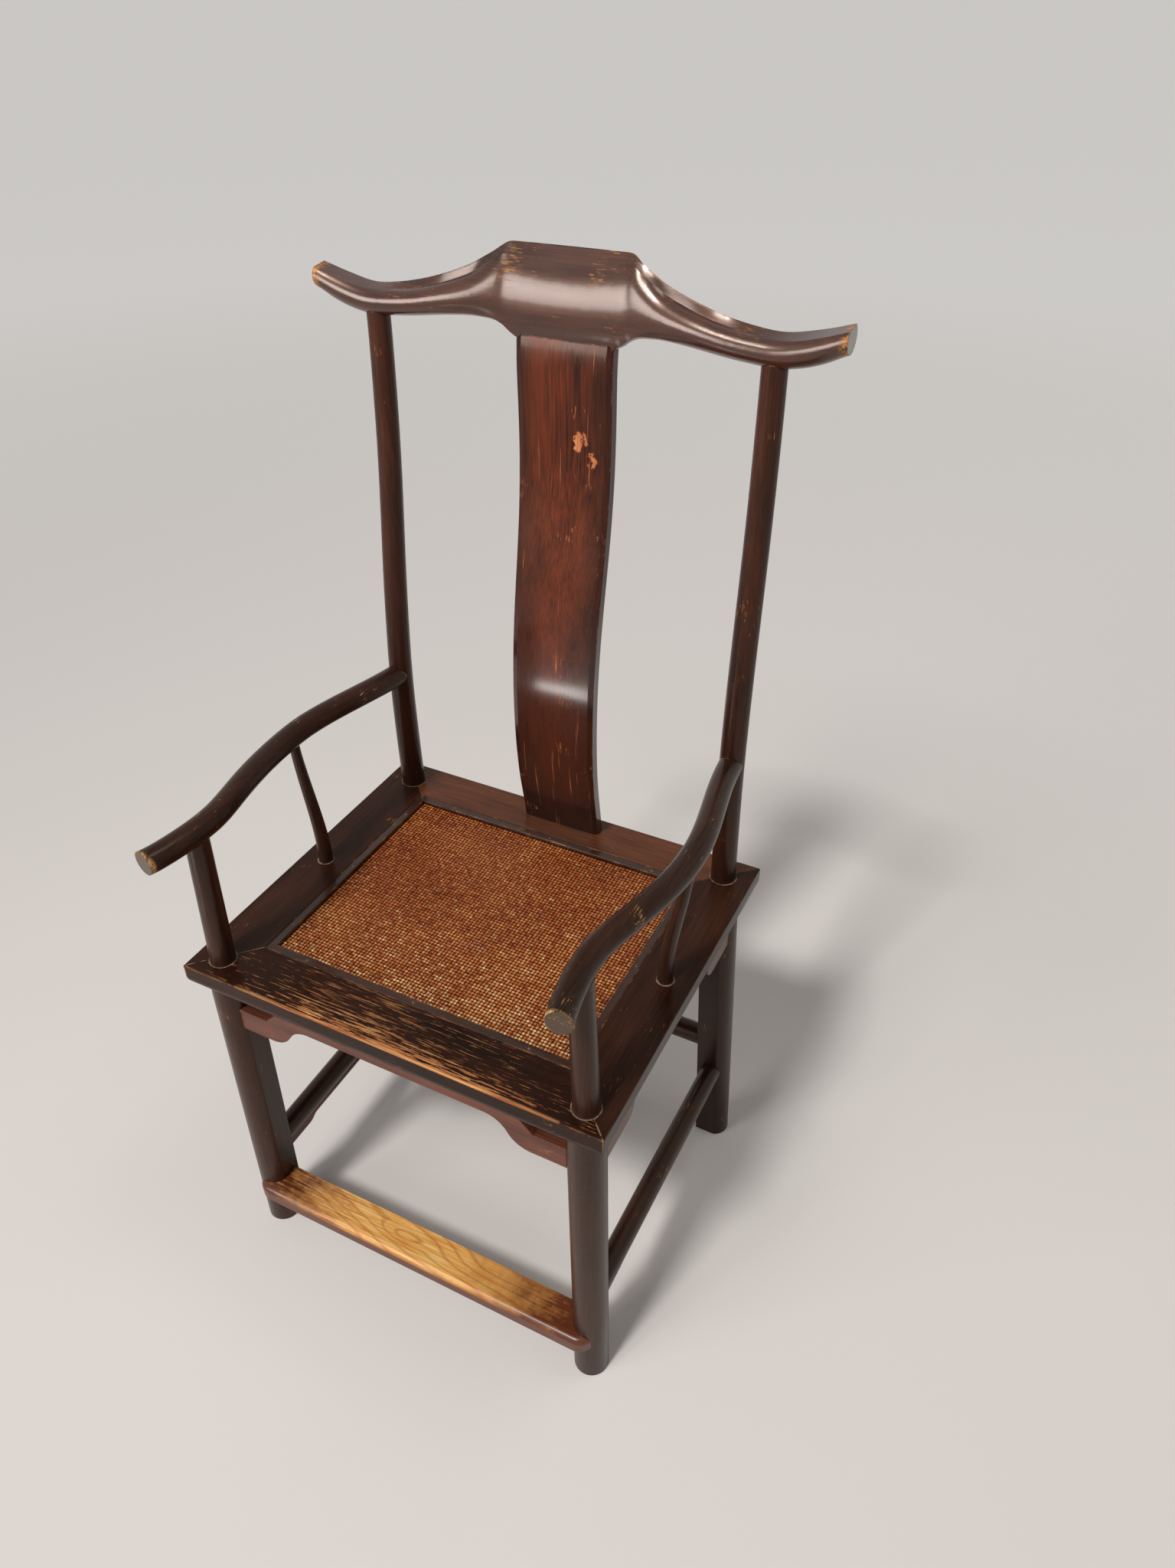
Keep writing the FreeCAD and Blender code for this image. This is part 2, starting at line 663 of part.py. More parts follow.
def corner_tenon(side, end):
    """Tenon of the front or back rail between a post hole and the opening, seen from above."""
    x = side * opening_x, side * (opening_x + S.corner_tenon_reach)
    if end < 0:
        hole_edge = S.front_post_radius + S.post_hole_gap - front_leg_y
        y = hole_edge + S.corner_tenon_margin, opening_front - S.corner_tenon_margin
    else:
        hole_edge = rear_leg_y - S.rear_post_radius - S.post_hole_gap
        y = opening_back + S.corner_tenon_margin, hole_edge - S.corner_tenon_margin
    return (x if side > 0 else x[::-1]), y


tenon_low = frame_bottom + (S.frame_thickness - S.ledge_depth - S.corner_tenon_height) / 2


def post_holes(side, end):
    if end < 0:
        radius = S.front_post_radius + S.post_hole_gap
        return Hole(side * front_leg_x, -front_leg_y, radius)
    radius = S.rear_post_radius + S.post_hole_gap
    return Hole(side * rear_leg_x, rear_leg_y, radius)


strip_middle = S.strip_width / 2
PEG_SHARES = (-0.36, 0, 0.36)
opening_depth = opening_back - opening_front
opening_middle = (opening_back + opening_front) / 2


def end_pegs(end):
    """Pegs of the front or back strip, as x and y."""
    y = opening_front + strip_middle if end < 0 else opening_back - strip_middle
    return [(2 * opening_x * share, y) for share in PEG_SHARES]


def side_pegs(side):
    x = side * (opening_x - strip_middle)
    return [(x, opening_middle + opening_depth * share) for share in PEG_SHARES]


def peg_holes(pegs):
    return [Hole(x, y, S.peg_radius + S.joint_gap) for x, y in pegs]


brace_top = ledge_top - S.brace_drop
brace_tenon_low = brace_top - (S.brace_height + S.brace_tenon_height) / 2
brace_front = opening_front + front_ledge
brace_back = opening_back - back_ledge


def through_frame(board, shapes):
    board.cut("XY", frame_bottom - S.overrun, S.frame_thickness + 2 * S.overrun, shapes)


def end_rail(label, end):
    """The front rail (end -1) or the back rail (end 1)."""
    width = S.front_rail_width if end < 0 else S.back_rail_width
    ledge = front_ledge if end < 0 else back_ledge
    rail = Board(label + "_body")
    rail.add("YZ", -frame_x, S.seat_width, [rail_profile(end, frame_y, width, ledge)])
    wedges = []
    for name, side in SIDES:
        outer, inner = mitre(side, end)
        wedges.append([outer, inner, (outer[0], inner[1])])
    through_frame(rail, wedges)
    tenons = [rectangle(*corner_tenon(side, end)) for name, side in SIDES]
    rail.add("XY", tenon_low, S.corner_tenon_height, tenons)
    through_frame(rail, [post_holes(side, end) for name, side in SIDES])
    rail.cut("XY", ledge_top - S.peg_depth, S.peg_depth + S.overrun, peg_holes(end_pegs(end)))
    face = brace_front if end < 0 else brace_back
    deep = face + end * (S.brace_tenon_length + S.joint_gap)
    open_end = face - end * S.overrun
    ys = (deep, open_end) if end < 0 else (open_end, deep)
    xs = [
        (side * S.brace_spacing / 2 - S.brace_width / 2, side * S.brace_spacing / 2 + S.brace_width / 2)
        for name, side in SIDES
    ]
    mortises = []
    for low, high in xs:
        mortises.append(rectangle((low - S.joint_gap, high + S.joint_gap), ys))
    height = S.brace_tenon_height + 2 * S.joint_gap
    rail.cut("XY", brace_tenon_low - S.joint_gap, height, mortises)
    return rail


def side_rail(label, side):
    rail = Board(label + "_body")
    rail.add("XZ", -frame_y, S.seat_depth, [rail_profile(side, frame_x, S.side_rail_width, S.ledge_width)])
    wedges = []
    for end in (-1, 1):
        outer, inner = mitre(side, end)
        wedges.append([outer, inner, (inner[0], outer[1])])
    through_frame(rail, wedges)
    mortises = [rectangle(*corner_tenon(side, end), grow=S.joint_gap) for end in (-1, 1)]
    height = S.corner_tenon_height + 2 * S.joint_gap
    rail.cut("XY", tenon_low - S.joint_gap, height, mortises)
    through_frame(rail, [post_holes(side, end) for end in (-1, 1)])
    rail.cut("XY", ledge_top - S.peg_depth, S.peg_depth + S.overrun, peg_holes(side_pegs(side)))
    depth = S.round_tenon_length + S.joint_gap
    hole = Hole(side * side_post_x, -S.side_post_advance, S.round_tenon_radius + S.joint_gap)
    rail.cut("XY", S.seat_height - depth, depth + S.overrun, [hole])
    return rail


def groove(rail, xs, ys):
    """Groove under a rail for the tongue of an apron."""
    low = frame_bottom - S.overrun
    length = S.overrun + S.tongue_height + S.joint_gap
    rail.cut("XY", low, length, [rectangle(xs, ys, grow=S.joint_gap)])


def tongue_span(near, thickness):
    """The tongue's place across the thickness of its apron."""
    low = near + (thickness - S.tongue_thickness) / 2
    return low, low + S.tongue_thickness


front_apron_y = S.apron_setback - frame_y
back_apron_y = frame_y - S.back_apron_setback - S.apron_thickness
side_apron_x = frame_x - S.side_apron_setback - S.apron_thickness
front_inner_x = front_leg_axis(frame_bottom)[0] - S.leg_flat - S.joint_gap
rear_inner_x = rear_leg_axis(frame_bottom)[0] - S.leg_flat - S.joint_gap
side_front_y = front_leg_axis(frame_bottom)[1] + S.leg_flat + S.joint_gap
side_back_y = rear_leg_axis(frame_bottom)[1] - S.leg_flat - S.joint_gap

front_tongue = (-front_inner_x, front_inner_x), tongue_span(front_apron_y, S.apron_thickness)
back_tongue = (-rear_inner_x, rear_inner_x), tongue_span(back_apron_y, S.apron_thickness)


def side_tongue(side):
    near, far = tongue_span(side_apron_x, S.apron_thickness)
    return across(side, near, far), (side_front_y, side_back_y)


front_rail = end_rail("front_rail", -1)
groove(front_rail, *front_tongue)
back_rail = end_rail("back_rail", 1)
groove(back_rail, *back_tongue)
splat_middle = splat_foot_y + S.splat_thickness / 2
splat_tenon_y = splat_middle - S.splat_tenon_thickness / 2, splat_middle + S.splat_tenon_thickness / 2
splat_tenon_x = -S.splat_tenon_width / 2, S.splat_tenon_width / 2
splat_depth = S.splat_tenon_length + S.joint_gap
back_rail.cut(
    "XY", S.seat_height - splat_depth, splat_depth + S.overrun,
    [rectangle(splat_tenon_x, splat_tenon_y, grow=S.joint_gap)],
)
finish(front_rail.body, "front_rail")
finish(back_rail.body, "back_rail")
for name, side in SIDES:
    rail = side_rail(f"side_rail_{name}", side)
    groove(rail, *side_tongue(side))
    finish(rail.body, f"side_rail_{name}")

# Strips, mat, pegs and braces inside the frame

strip_low = ledge_top + S.mat_thickness
inner_x = opening_x - S.strip_width
inner_front = opening_front + S.strip_width
inner_back = opening_back - S.strip_width


def strip(label, outline, pegs):
    piece = Board(label + "_body")
    piece.add("XY", strip_low, S.strip_thickness, [outline])
    piece.cut("XY", strip_low - S.overrun, S.strip_thickness + 2 * S.overrun, peg_holes(pegs))
    finish(piece.body, label)


strip("seat_strip_front", [
    (-opening_x, opening_front), (opening_x, opening_front), (inner_x, inner_front), (-inner_x, inner_front),
], end_pegs(-1))
strip("seat_strip_back", [
    (-opening_x, opening_back), (opening_x, opening_back), (inner_x, inner_back), (-inner_x, inner_back),
], end_pegs(1))
for name, side in SIDES:
    strip(f"seat_strip_{name}", [
        (side * opening_x, opening_front), (side * opening_x, opening_back),
        (side * inner_x, inner_back), (side * inner_x, inner_front),
    ], side_pegs(side))

all_pegs = end_pegs(-1) + end_pegs(1) + side_pegs(-1) + side_pegs(1)
mat = Board("seat_mat_body")
mat_outline = rectangle((-opening_x, opening_x), (opening_front, opening_back), grow=-S.joint_gap)
mat.add("XY", ledge_top, S.mat_thickness, [mat_outline])
mat.cut("XY", ledge_top - S.overrun, S.mat_thickness + 2 * S.overrun, peg_holes(all_pegs))
finish(mat.body, "seat_mat")

peg_low = ledge_top - S.peg_depth
peg_length = S.peg_depth + S.mat_thickness + S.strip_thickness
pegs = [
    rod(f"peg_{index}", S.peg_radius, peg_length, upright(as_length(x), as_length(y), peg_low))
    for index, (x, y) in enumerate(all_pegs)
]
finish(joined("strip_pegs_group", pegs), "strip_pegs")

for name, side in SIDES:
    brace = Board(f"seat_brace_{name}_body")
    middle = side * S.brace_spacing / 2
    brace_bottom = brace_top - S.brace_height
    tenon_top = brace_tenon_low + S.brace_tenon_height
    halfway = (brace_front + brace_back) / 2
    brace.add("YZ", middle - S.brace_width / 2, S.brace_width, [[
        (brace_front, brace_top),
        Via(halfway, brace_top - S.brace_sag),
        (brace_back, brace_top),
        (brace_back, tenon_top),
        (brace_back + S.brace_tenon_length, tenon_top),
        (brace_back + S.brace_tenon_length, brace_tenon_low),
        (brace_back, brace_tenon_low),
        (brace_back, brace_bottom),
        Via(halfway, brace_bottom - S.brace_sag),
        (brace_front, brace_bottom),
        (brace_front, brace_tenon_low),
        (brace_front - S.brace_tenon_length, brace_tenon_low),
        (brace_front - S.brace_tenon_length, tenon_top),
        (brace_front, tenon_top),
    ]])
    finish(brace.body, f"seat_brace_{name}")

# Leg, post, arm and crest blanks, before their joints are cut

ROUND_CORNER_SHARE = 0.7071


def leg_outline(side, inward, worn):
    """Round outside, two flat faces and a square corner inside; worn draws the edge in."""
    flat = S.leg_flat - worn
    radius = S.leg_radius - worn
    reach = S.leg_flat_reach
    return [
        (-side * flat, inward * flat),
        (side * reach, inward * flat),
        Via(side * radius * ROUND_CORNER_SHARE, -inward * radius * ROUND_CORNER_SHARE),
        (-side * flat, -inward * reach),
    ]


def leg_shaft(name, side, inward, axis):
    """The leg from the floor to the underside of the frame."""
    sections = []
    for level, worn in ((zero, S.foot_round), (S.foot_round, zero), (frame_bottom, zero)):
        x, y = axis(level)
        place = upright(side * x, y, level)
        sections.append(section(f"{name}_section_{len(sections)}", leg_outline(side, inward, worn), place))
    return loft(f"{name}_shaft", sections, ruled=True)


def neck(name, side, x, y, radius):
    """The round part of a leg that passes through the frame."""
    return rod(f"{name}_neck", radius, S.frame_thickness, upright(side * x, y, frame_bottom))


def front_leg_blank(name, side):
    x, y, z = arm_point(ARM_AT_FRONT_POST_SHARE)
    base = upright(side * front_leg_x, -front_leg_y, S.seat_height)
    foot = ring(f"{name}_ring_0", S.front_post_radius, base)
    head = ring(f"{name}_ring_1", S.front_post_top_radius, upright(side * x, y, z))
    post = loft(f"{name}_post", [foot, head])
    shaft = leg_shaft(name, side, 1, front_leg_axis)
    through = neck(name, side, front_leg_x, -front_leg_y, S.front_post_radius)
    return joined(f"{name}_blank", [shaft, through, post])


def rear_leg_blank(name, side):
    rings = []
    for way, sweep in REAR_POST_SHARES:
        x = rear_leg_x + (rear_post_top_x - rear_leg_x) * way
        y = rear_leg_y + S.rear_post_sweep * sweep
        z = S.seat_height + (S.rear_post_height - S.seat_height) * way
        radius = S.rear_post_radius + (S.rear_post_top_radius - S.rear_post_radius) * way
        rings.append(ring(f"{name}_ring_{len(rings)}", radius, upright(side * x, y, z)))
    head = upright(side * x, y, z + S.crest_bite)
    rings.append(ring(f"{name}_ring_{len(rings)}", radius, head))
    post = loft(f"{name}_post", rings)
    shaft = leg_shaft(name, side, -1, rear_leg_axis)
    through = neck(name, side, rear_leg_x, rear_leg_y, S.rear_post_radius)
    return joined(f"{name}_blank", [shaft, through, post])


def arm_blank(name, side):
    rings = []
    for share, _, _, turn in ARM_SHARES:
        x, y, z = arm_point(share)
        place = facing(side * x, y, z, side * S.arm_end_turn * turn)
        rings.append(ring(f"{name}_ring_{len(rings)}", S.arm_radius, place))
    return loft(f"{name}_blank", rings)


crest_blank = doc.addObject("Part::Feature", "crest_rail_blank")
crest_stations = [(share, -1) for share in reversed(CREST_STATION_SHARES[1:])]
crest_stations += [(share, 1) for share in CREST_STATION_SHARES]
crest_sections = [crest_section(share, side) for share, side in crest_stations]
crest_blank.Shape = Part.makeLoft(crest_sections, True, False)

front_blanks = {side: front_leg_blank(f"front_leg_{name}", side) for name, side in SIDES}
rear_blanks = {side: rear_leg_blank(f"rear_leg_{name}", side) for name, side in SIDES}
arm_blanks = {side: arm_blank(f"arm_{name}", side) for name, side in SIDES}

# Mortises that each leg gets, gathered while the pieces that fit them are made

front_mortises = {side: [] for name, side in SIDES}
rear_mortises = {side: [] for name, side in SIDES}


def tenon_pair(name, spans, mortises):
    """A square tenon, and its mortise added to the leg's list."""
    mortises.append(block(f"{name}_mortise", *spans, grow=S.joint_gap))
    return block(f"{name}_tenon", *spans)


# Arms, side posts and their round tenons

# Height share of each station of a side post, with its shares of the bow and of the way forward
SIDE_POST_SHARES = ((0, 0, 0), (0.24, 0.08, 0.24), (0.5, 0.42, 0.5), (0.77, 0.82, 0.78), (1, 1, 1))

for name, side in SIDES:
    arm = arm_blanks[side]
    _, _, arm_z = arm_point(0)
    root = S.rear_post_radius + S.overrun
    stub_start = facing(side * arm_post_x, arm_post_y, arm_z, 0)
    stub = rod(f"arm_{name}_tenon", S.round_tenon_radius, root, stub_start)
    socket = rod(
        f"arm_{name}_socket", S.round_tenon_radius + S.joint_gap, root,
        facing(side * arm_post_x, arm_post_y + S.joint_gap, arm_z, 0),
    )
    rear_mortises[side].append(socket)

    front_x, front_y, front_z = arm_point(ARM_AT_FRONT_POST_SHARE)
    low = front_z - S.arm_radius - S.overrun
    tall = S.arm_radius + S.overrun + S.round_tenon_length / 2
    place = upright(side * front_x, front_y, low)
    front_stub = rod(f"front_post_{name}_tenon", S.round_tenon_radius, tall, place)
    front_socket = rod(
        f"front_post_{name}_socket", S.round_tenon_radius + S.joint_gap, tall + S.joint_gap, place,
    )

    side_x, side_y, side_z = arm_point(ARM_AT_SIDE_POST_SHARE)
    side_low = side_z - S.arm_radius - S.overrun
    place = upright(side * side_x, side_y, side_low)
    side_stub = rod(f"side_post_{name}_tenon", S.side_post_tenon_radius, tall, place)
    side_socket = rod(
        f"side_post_{name}_socket", S.side_post_tenon_radius + S.joint_gap, tall + S.joint_gap, place,
    )

    coped = less(f"arm_{name}_coped", arm, [rear_blanks[side]])
    bored = less(f"arm_{name}_bored", coped, [front_socket, side_socket])
    finish(joined(f"arm_{name}_piece", [bored, stub]), f"arm_{name}")

    coped_leg = less(f"front_leg_{name}_coped", front_blanks[side], [arm])
    front_blanks[side] = front_blanks[side], joined(f"front_leg_{name}_topped", [coped_leg, front_stub])

    rings = []
    foot_x, foot_y = side_post_x, -S.side_post_advance
    for way, bow, forward in SIDE_POST_SHARES:
        x = foot_x + (side_x - foot_x) * bow
        y = foot_y + (side_y - foot_y) * forward
        z = S.seat_height + (side_z - S.seat_height) * way
        radius = S.side_post_radius + (S.side_post_top_radius - S.side_post_radius) * way
        rings.append(ring(f"side_post_{name}_ring_{len(rings)}", radius, upright(side * x, y, z)))
    shaft = less(f"side_post_{name}_coped", loft(f"side_post_{name}_blank", rings), [arm])
    dowel = rod(
        f"side_post_{name}_dowel", S.round_tenon_radius, S.round_tenon_length + S.overrun,
        upright(side * foot_x, foot_y, S.seat_height - S.round_tenon_length),
    )
    finish(joined(f"side_post_{name}_piece", [shaft, dowel, side_stub]), f"side_post_{name}")

# Splat

# Height share of each station above the seat, with the share of the sweep there
SPLAT_SHARES = (
    (0, 0), (0.1, -0.347), (0.2, -0.564), (0.3, -0.584), (0.4, -0.443), (0.5, -0.141),
    (0.6, 0.262), (0.7, 0.617), (0.8, 0.815), (0.9, 0.852), (1, 1),
)
splat_head = crest_joint + S.crest_bite
splat_sections = []
for way, sweep in SPLAT_SHARES:
    half = (S.splat_foot_width + (S.splat_top_width - S.splat_foot_width) * way) / 2
    y = splat_foot_y + S.splat_sweep * sweep
    z = S.seat_height + (splat_head - S.seat_height) * way
    outline = [
        (-half + S.splat_bevel_width, zero),
        (half - S.splat_bevel_width, zero),
        (half, S.splat_bevel_depth),
        (half, S.splat_thickness),
        (-half, S.splat_thickness),
        (-half, S.splat_bevel_depth),
    ]
    splat_sections.append(section(f"splat_section_{len(splat_sections)}", outline, upright(zero, y, z)))
splat_blank = loft("splat_blank", splat_sections)
splat_top_y = splat_foot_y + S.splat_sweep + S.splat_thickness / 2
splat_top_tenon = (
    splat_tenon_x,
    (splat_top_y - S.splat_tenon_thickness / 2, splat_top_y + S.splat_tenon_thickness / 2),
    (crest_joint - S.overrun, crest_joint + S.splat_tenon_length),
)
splat_coped = less("splat_coped", splat_blank, [crest_blank])
splat_foot_tenon = block(
    "splat_foot_tenon", splat_tenon_x, splat_tenon_y,
    (S.seat_height - S.splat_tenon_length, S.seat_height + S.overrun),
)
splat_head_tenon = block("splat_head_tenon", *splat_top_tenon)
finish(joined("splat_piece", [splat_coped, splat_foot_tenon, splat_head_tenon]), "splat")

# Crest rail and the tenons of the rear posts

crest_cutters = [block("splat_head_mortise", *splat_top_tenon, grow=S.joint_gap)]
rear_tops = {}
for name, side in SIDES:
    low = S.rear_post_height - S.overrun
    tall = S.overrun + S.round_tenon_length
    foot = upright(side * rear_post_top_x, crest_y, low)
    crest_cutters.append(
        rod(f"crest_socket_{name}", S.round_tenon_radius + S.joint_gap, tall + S.joint_gap, foot)
    )
    rear_tops[side] = rod(f"rear_post_{name}_tenon", S.round_tenon_radius, tall, foot)
finish(less("crest_rail_piece", crest_blank, crest_cutters), "crest_rail")

# Aprons under the seat frame

apron_low = frame_bottom - S.apron_height
bracket_low = frame_bottom - S.bracket_height
slot_low = frame_bottom - S.slot_bottom
slot_high = frame_bottom - S.slot_top


OGEE_RUN_SHARE = 0.75
OGEE_DROP_SHARE = 0.26


def ogee(end, length, foot, plain, low):
    """Corner, arcs and corner of the curve from the plain edge down to a bracket's level foot."""
    start = end - length
    stop = end - foot
    middle = (start + stop) / 2
    half_height = (plain + low) / 2
    quarter = (stop - start) / 4
    drop = (plain - low) / 2
    return [
        (start, plain),
        Via(middle - quarter * OGEE_RUN_SHARE, plain - drop * OGEE_DROP_SHARE),
        (middle, half_height),
        Via(middle + quarter * OGEE_RUN_SHARE, low + drop * OGEE_DROP_SHARE),
        (stop, low),
    ]


def front_half(end, inner):
    """Right half of the front apron's lower edge and its slot, out to the hidden end in the leg."""
    slot_end = inner - S.slot_length
    outline = ogee(inner, S.bracket_length, S.bracket_foot_length, apron_low, bracket_low)
    outline += [
        (end, bracket_low),
        (end, slot_low),
        (slot_end, slot_low),
        (slot_end - S.slot_slant, slot_high),
        (end, slot_high),
        (end, frame_bottom),
    ]
    return outline


hidden_x = front_leg_axis(apron_low)[0]
visible_x = front_leg_axis(bracket_low)[0] - S.leg_flat
right_half = front_half(hidden_x, visible_x)
apron = Board("front_apron_body")
apron.add("XZ", front_apron_y, S.apron_thickness, [right_half + mirrored(right_half)])
apron.add("XY", frame_bottom - S.overrun, S.overrun + S.tongue_height, [rectangle(*front_tongue)])
front_apron_tenons = []
tenon_zs = bracket_low + S.apron_tenon_rise, bracket_low + S.apron_tenon_rise + S.apron_tenon_height
tenon_offset = (S.apron_thickness - S.apron_tenon_thickness) / 2
front_tenon_ys = front_apron_y + tenon_offset, front_apron_y + tenon_offset + S.apron_tenon_thickness
for name, side in SIDES:
    xs = across(side, visible_x - S.overrun, visible_x + S.tenon_length)
    spans = xs, front_tenon_ys, tenon_zs
    front_apron_tenons.append(tenon_pair(f"front_apron_{name}", spans, front_mortises[side]))
coped = less("front_apron_coped", apron.body, [front_blanks[side][0] for name, side in SIDES])
finish(joined("front_apron_piece", [coped] + front_apron_tenons), "front_apron")

back_apron = Board("back_apron_body")
hidden_back_x = rear_leg_axis(apron_low)[0]
back_apron.add(
    "XZ", back_apron_y, S.apron_thickness,
    [rectangle((-hidden_back_x, hidden_back_x), (apron_low, frame_bottom))],
)
back_apron.add("XY", frame_bottom - S.overrun, S.overrun + S.tongue_height, [rectangle(*back_tongue)])
back_apron_tenons = []
back_visible_x = rear_leg_axis(apron_low)[0] - S.leg_flat
back_tenon_ys = back_apron_y + tenon_offset, back_apron_y + tenon_offset + S.apron_tenon_thickness
for name, side in SIDES:
    xs = across(side, back_visible_x - S.overrun, back_visible_x + S.tenon_length)
    zs = apron_low + S.apron_tenon_rise, apron_low + S.apron_tenon_rise + S.apron_tenon_height
    spans = xs, back_tenon_ys, zs
    back_apron_tenons.append(tenon_pair(f"back_apron_{name}", spans, rear_mortises[side]))
coped = less("back_apron_coped", back_apron.body, [rear_blanks[side] for name, side in SIDES])
finish(joined("back_apron_piece", [coped] + back_apron_tenons), "back_apron")


def flipped(outline, middle):
    """The same outline turned end for end about a depth."""
    turned = []
    for point in reversed(outline):
        if isinstance(point, Via):
            turned.append(Via(2 * middle - point.u, point.v))
        else:
            turned.append((2 * middle - point[0], point[1]))
    return turned


for name, side in SIDES:
    side_apron = Board(f"side_apron_{name}_body")
    front_face = front_leg_axis(bracket_low)[1] + S.leg_flat
    back_face = rear_leg_axis(bracket_low)[1] - S.leg_flat
    middle = (front_face + back_face) / 2
    hidden_back = rear_leg_axis(bracket_low)[1]
    rear_half = ogee(back_face, S.side_bracket_length, S.side_bracket_foot_length, apron_low, bracket_low)
    rear_half += [(hidden_back, bracket_low), (hidden_back, frame_bottom)]
    outline = rear_half + flipped(rear_half, middle)
    low_x, high_x = across(side, side_apron_x, side_apron_x + S.apron_thickness)
    side_apron.add("YZ", low_x, S.apron_thickness, [outline])
    side_apron.add(
        "XY", frame_bottom - S.overrun, S.overrun + S.tongue_height, [rectangle(*side_tongue(side))]
    )
    near_x = side_apron_x + tenon_offset
    tenon_xs = across(side, near_x, near_x + S.apron_tenon_thickness)
    front_spans = tenon_xs, (front_face - S.tenon_length, front_face + S.overrun), tenon_zs
    back_spans = tenon_xs, (back_face - S.overrun, back_face + S.tenon_length), tenon_zs
    tenons = [
        tenon_pair(f"side_apron_{name}_front", front_spans, front_mortises[side]),
        tenon_pair(f"side_apron_{name}_back", back_spans, rear_mortises[side]),
    ]
    coped = less(f"side_apron_{name}_coped", side_apron.body, [front_blanks[side][0], rear_blanks[side]])
    finish(joined(f"side_apron_{name}_piece", [coped] + tenons), f"side_apron_{name}")

# Footrest, its apron, stretchers and their aprons

footrest_low = S.footrest_height - S.footrest_thickness
foot_axis_x, foot_axis_y = front_leg_axis(footrest_low)
tip_x = foot_axis_x + S.footrest_tip_reach
nose_y = -frame_y - S.footrest_overhang
footrest_back = nose_y + S.footrest_depth
tip_y = nose_y + S.footrest_tip_back
nose_end = tip_x - S.footrest_tip_run
# A tip is an arc that leaves the straight nose smoothly
tip_chord = diagonal(S.footrest_tip_run, S.footrest_tip_back)
tip_middle_x = nose_end + tip_chord / 2
tip_middle_y = nose_y + tip_chord * (tip_chord - S.footrest_tip_run) / (2 * S.footrest_tip_back)
footrest = Board("footrest_body")
slab = footrest.add("XY", footrest_low, S.footrest_thickness, [[
    (-foot_axis_x, footrest_back),
    (-tip_x, tip_y),
    Via(-tip_middle_x, tip_middle_y),
    (-nose_end, nose_y),
    (nose_end, nose_y),
    Via(tip_middle_x, tip_middle_y),
    (tip_x, tip_y),
    (foot_axis_x, footrest_back),
]])
doc.recompute()


def nose_edges(shape):
    """Names of the top edges that follow the nose and tips of the footrest."""
    names = []
    for index, edge in enumerate(shape.Edges, start=1):
        box = edge.BoundBox
        level = box.ZMin > S.footrest_height.value - S.joint_gap.value
        if level and box.YMax < tip_y.value + S.joint_gap.value:
            names.append(f"Edge{index}")
    return names


nose = footrest.body.newObject("PartDesign::Fillet", "footrest_nose_round")
nose.Base = (slab, nose_edges(slab.Shape))
nose.setExpression("Radius", S.footrest_round.text)
footrest_tenons = []
visible_x = foot_axis_x - S.leg_flat
rest_middle = footrest_low + S.footrest_thickness / 2
tenon_ys = foot_axis_y - S.footrest_tenon_width / 2, foot_axis_y + S.footrest_tenon_width / 2
tenon_zs = rest_middle - S.footrest_tenon_height / 2, rest_middle + S.footrest_tenon_height / 2
for name, side in SIDES:
    xs = across(side, visible_x - S.overrun, visible_x + S.tenon_length)
    spans = xs, tenon_ys, tenon_zs
    footrest_tenons.append(tenon_pair(f"footrest_{name}", spans, front_mortises[side]))
coped = less("footrest_coped", footrest.body, [front_blanks[side][0] for name, side in SIDES])
finish(joined("footrest_piece", [coped] + footrest_tenons), "footrest")

foot_apron_y = nose_y + S.foot_apron_setback
foot_plain = footrest_low - S.foot_apron_height
foot_bracket = footrest_low - S.foot_bracket_height
half = ogee(visible_x, S.low_bracket_length, S.low_bracket_foot_length, foot_plain, foot_bracket)
half += [(foot_axis_x, foot_bracket), (foot_axis_x, footrest_low)]
foot_apron = Board("footrest_apron_body")
foot_apron.add("XZ", foot_apron_y, S.low_apron_thickness, [half + mirrored(half)])
finish(
    less("footrest_apron_piece", foot_apron.body, [front_blanks[side][0] for name, side in SIDES]),
    "footrest_apron",
)

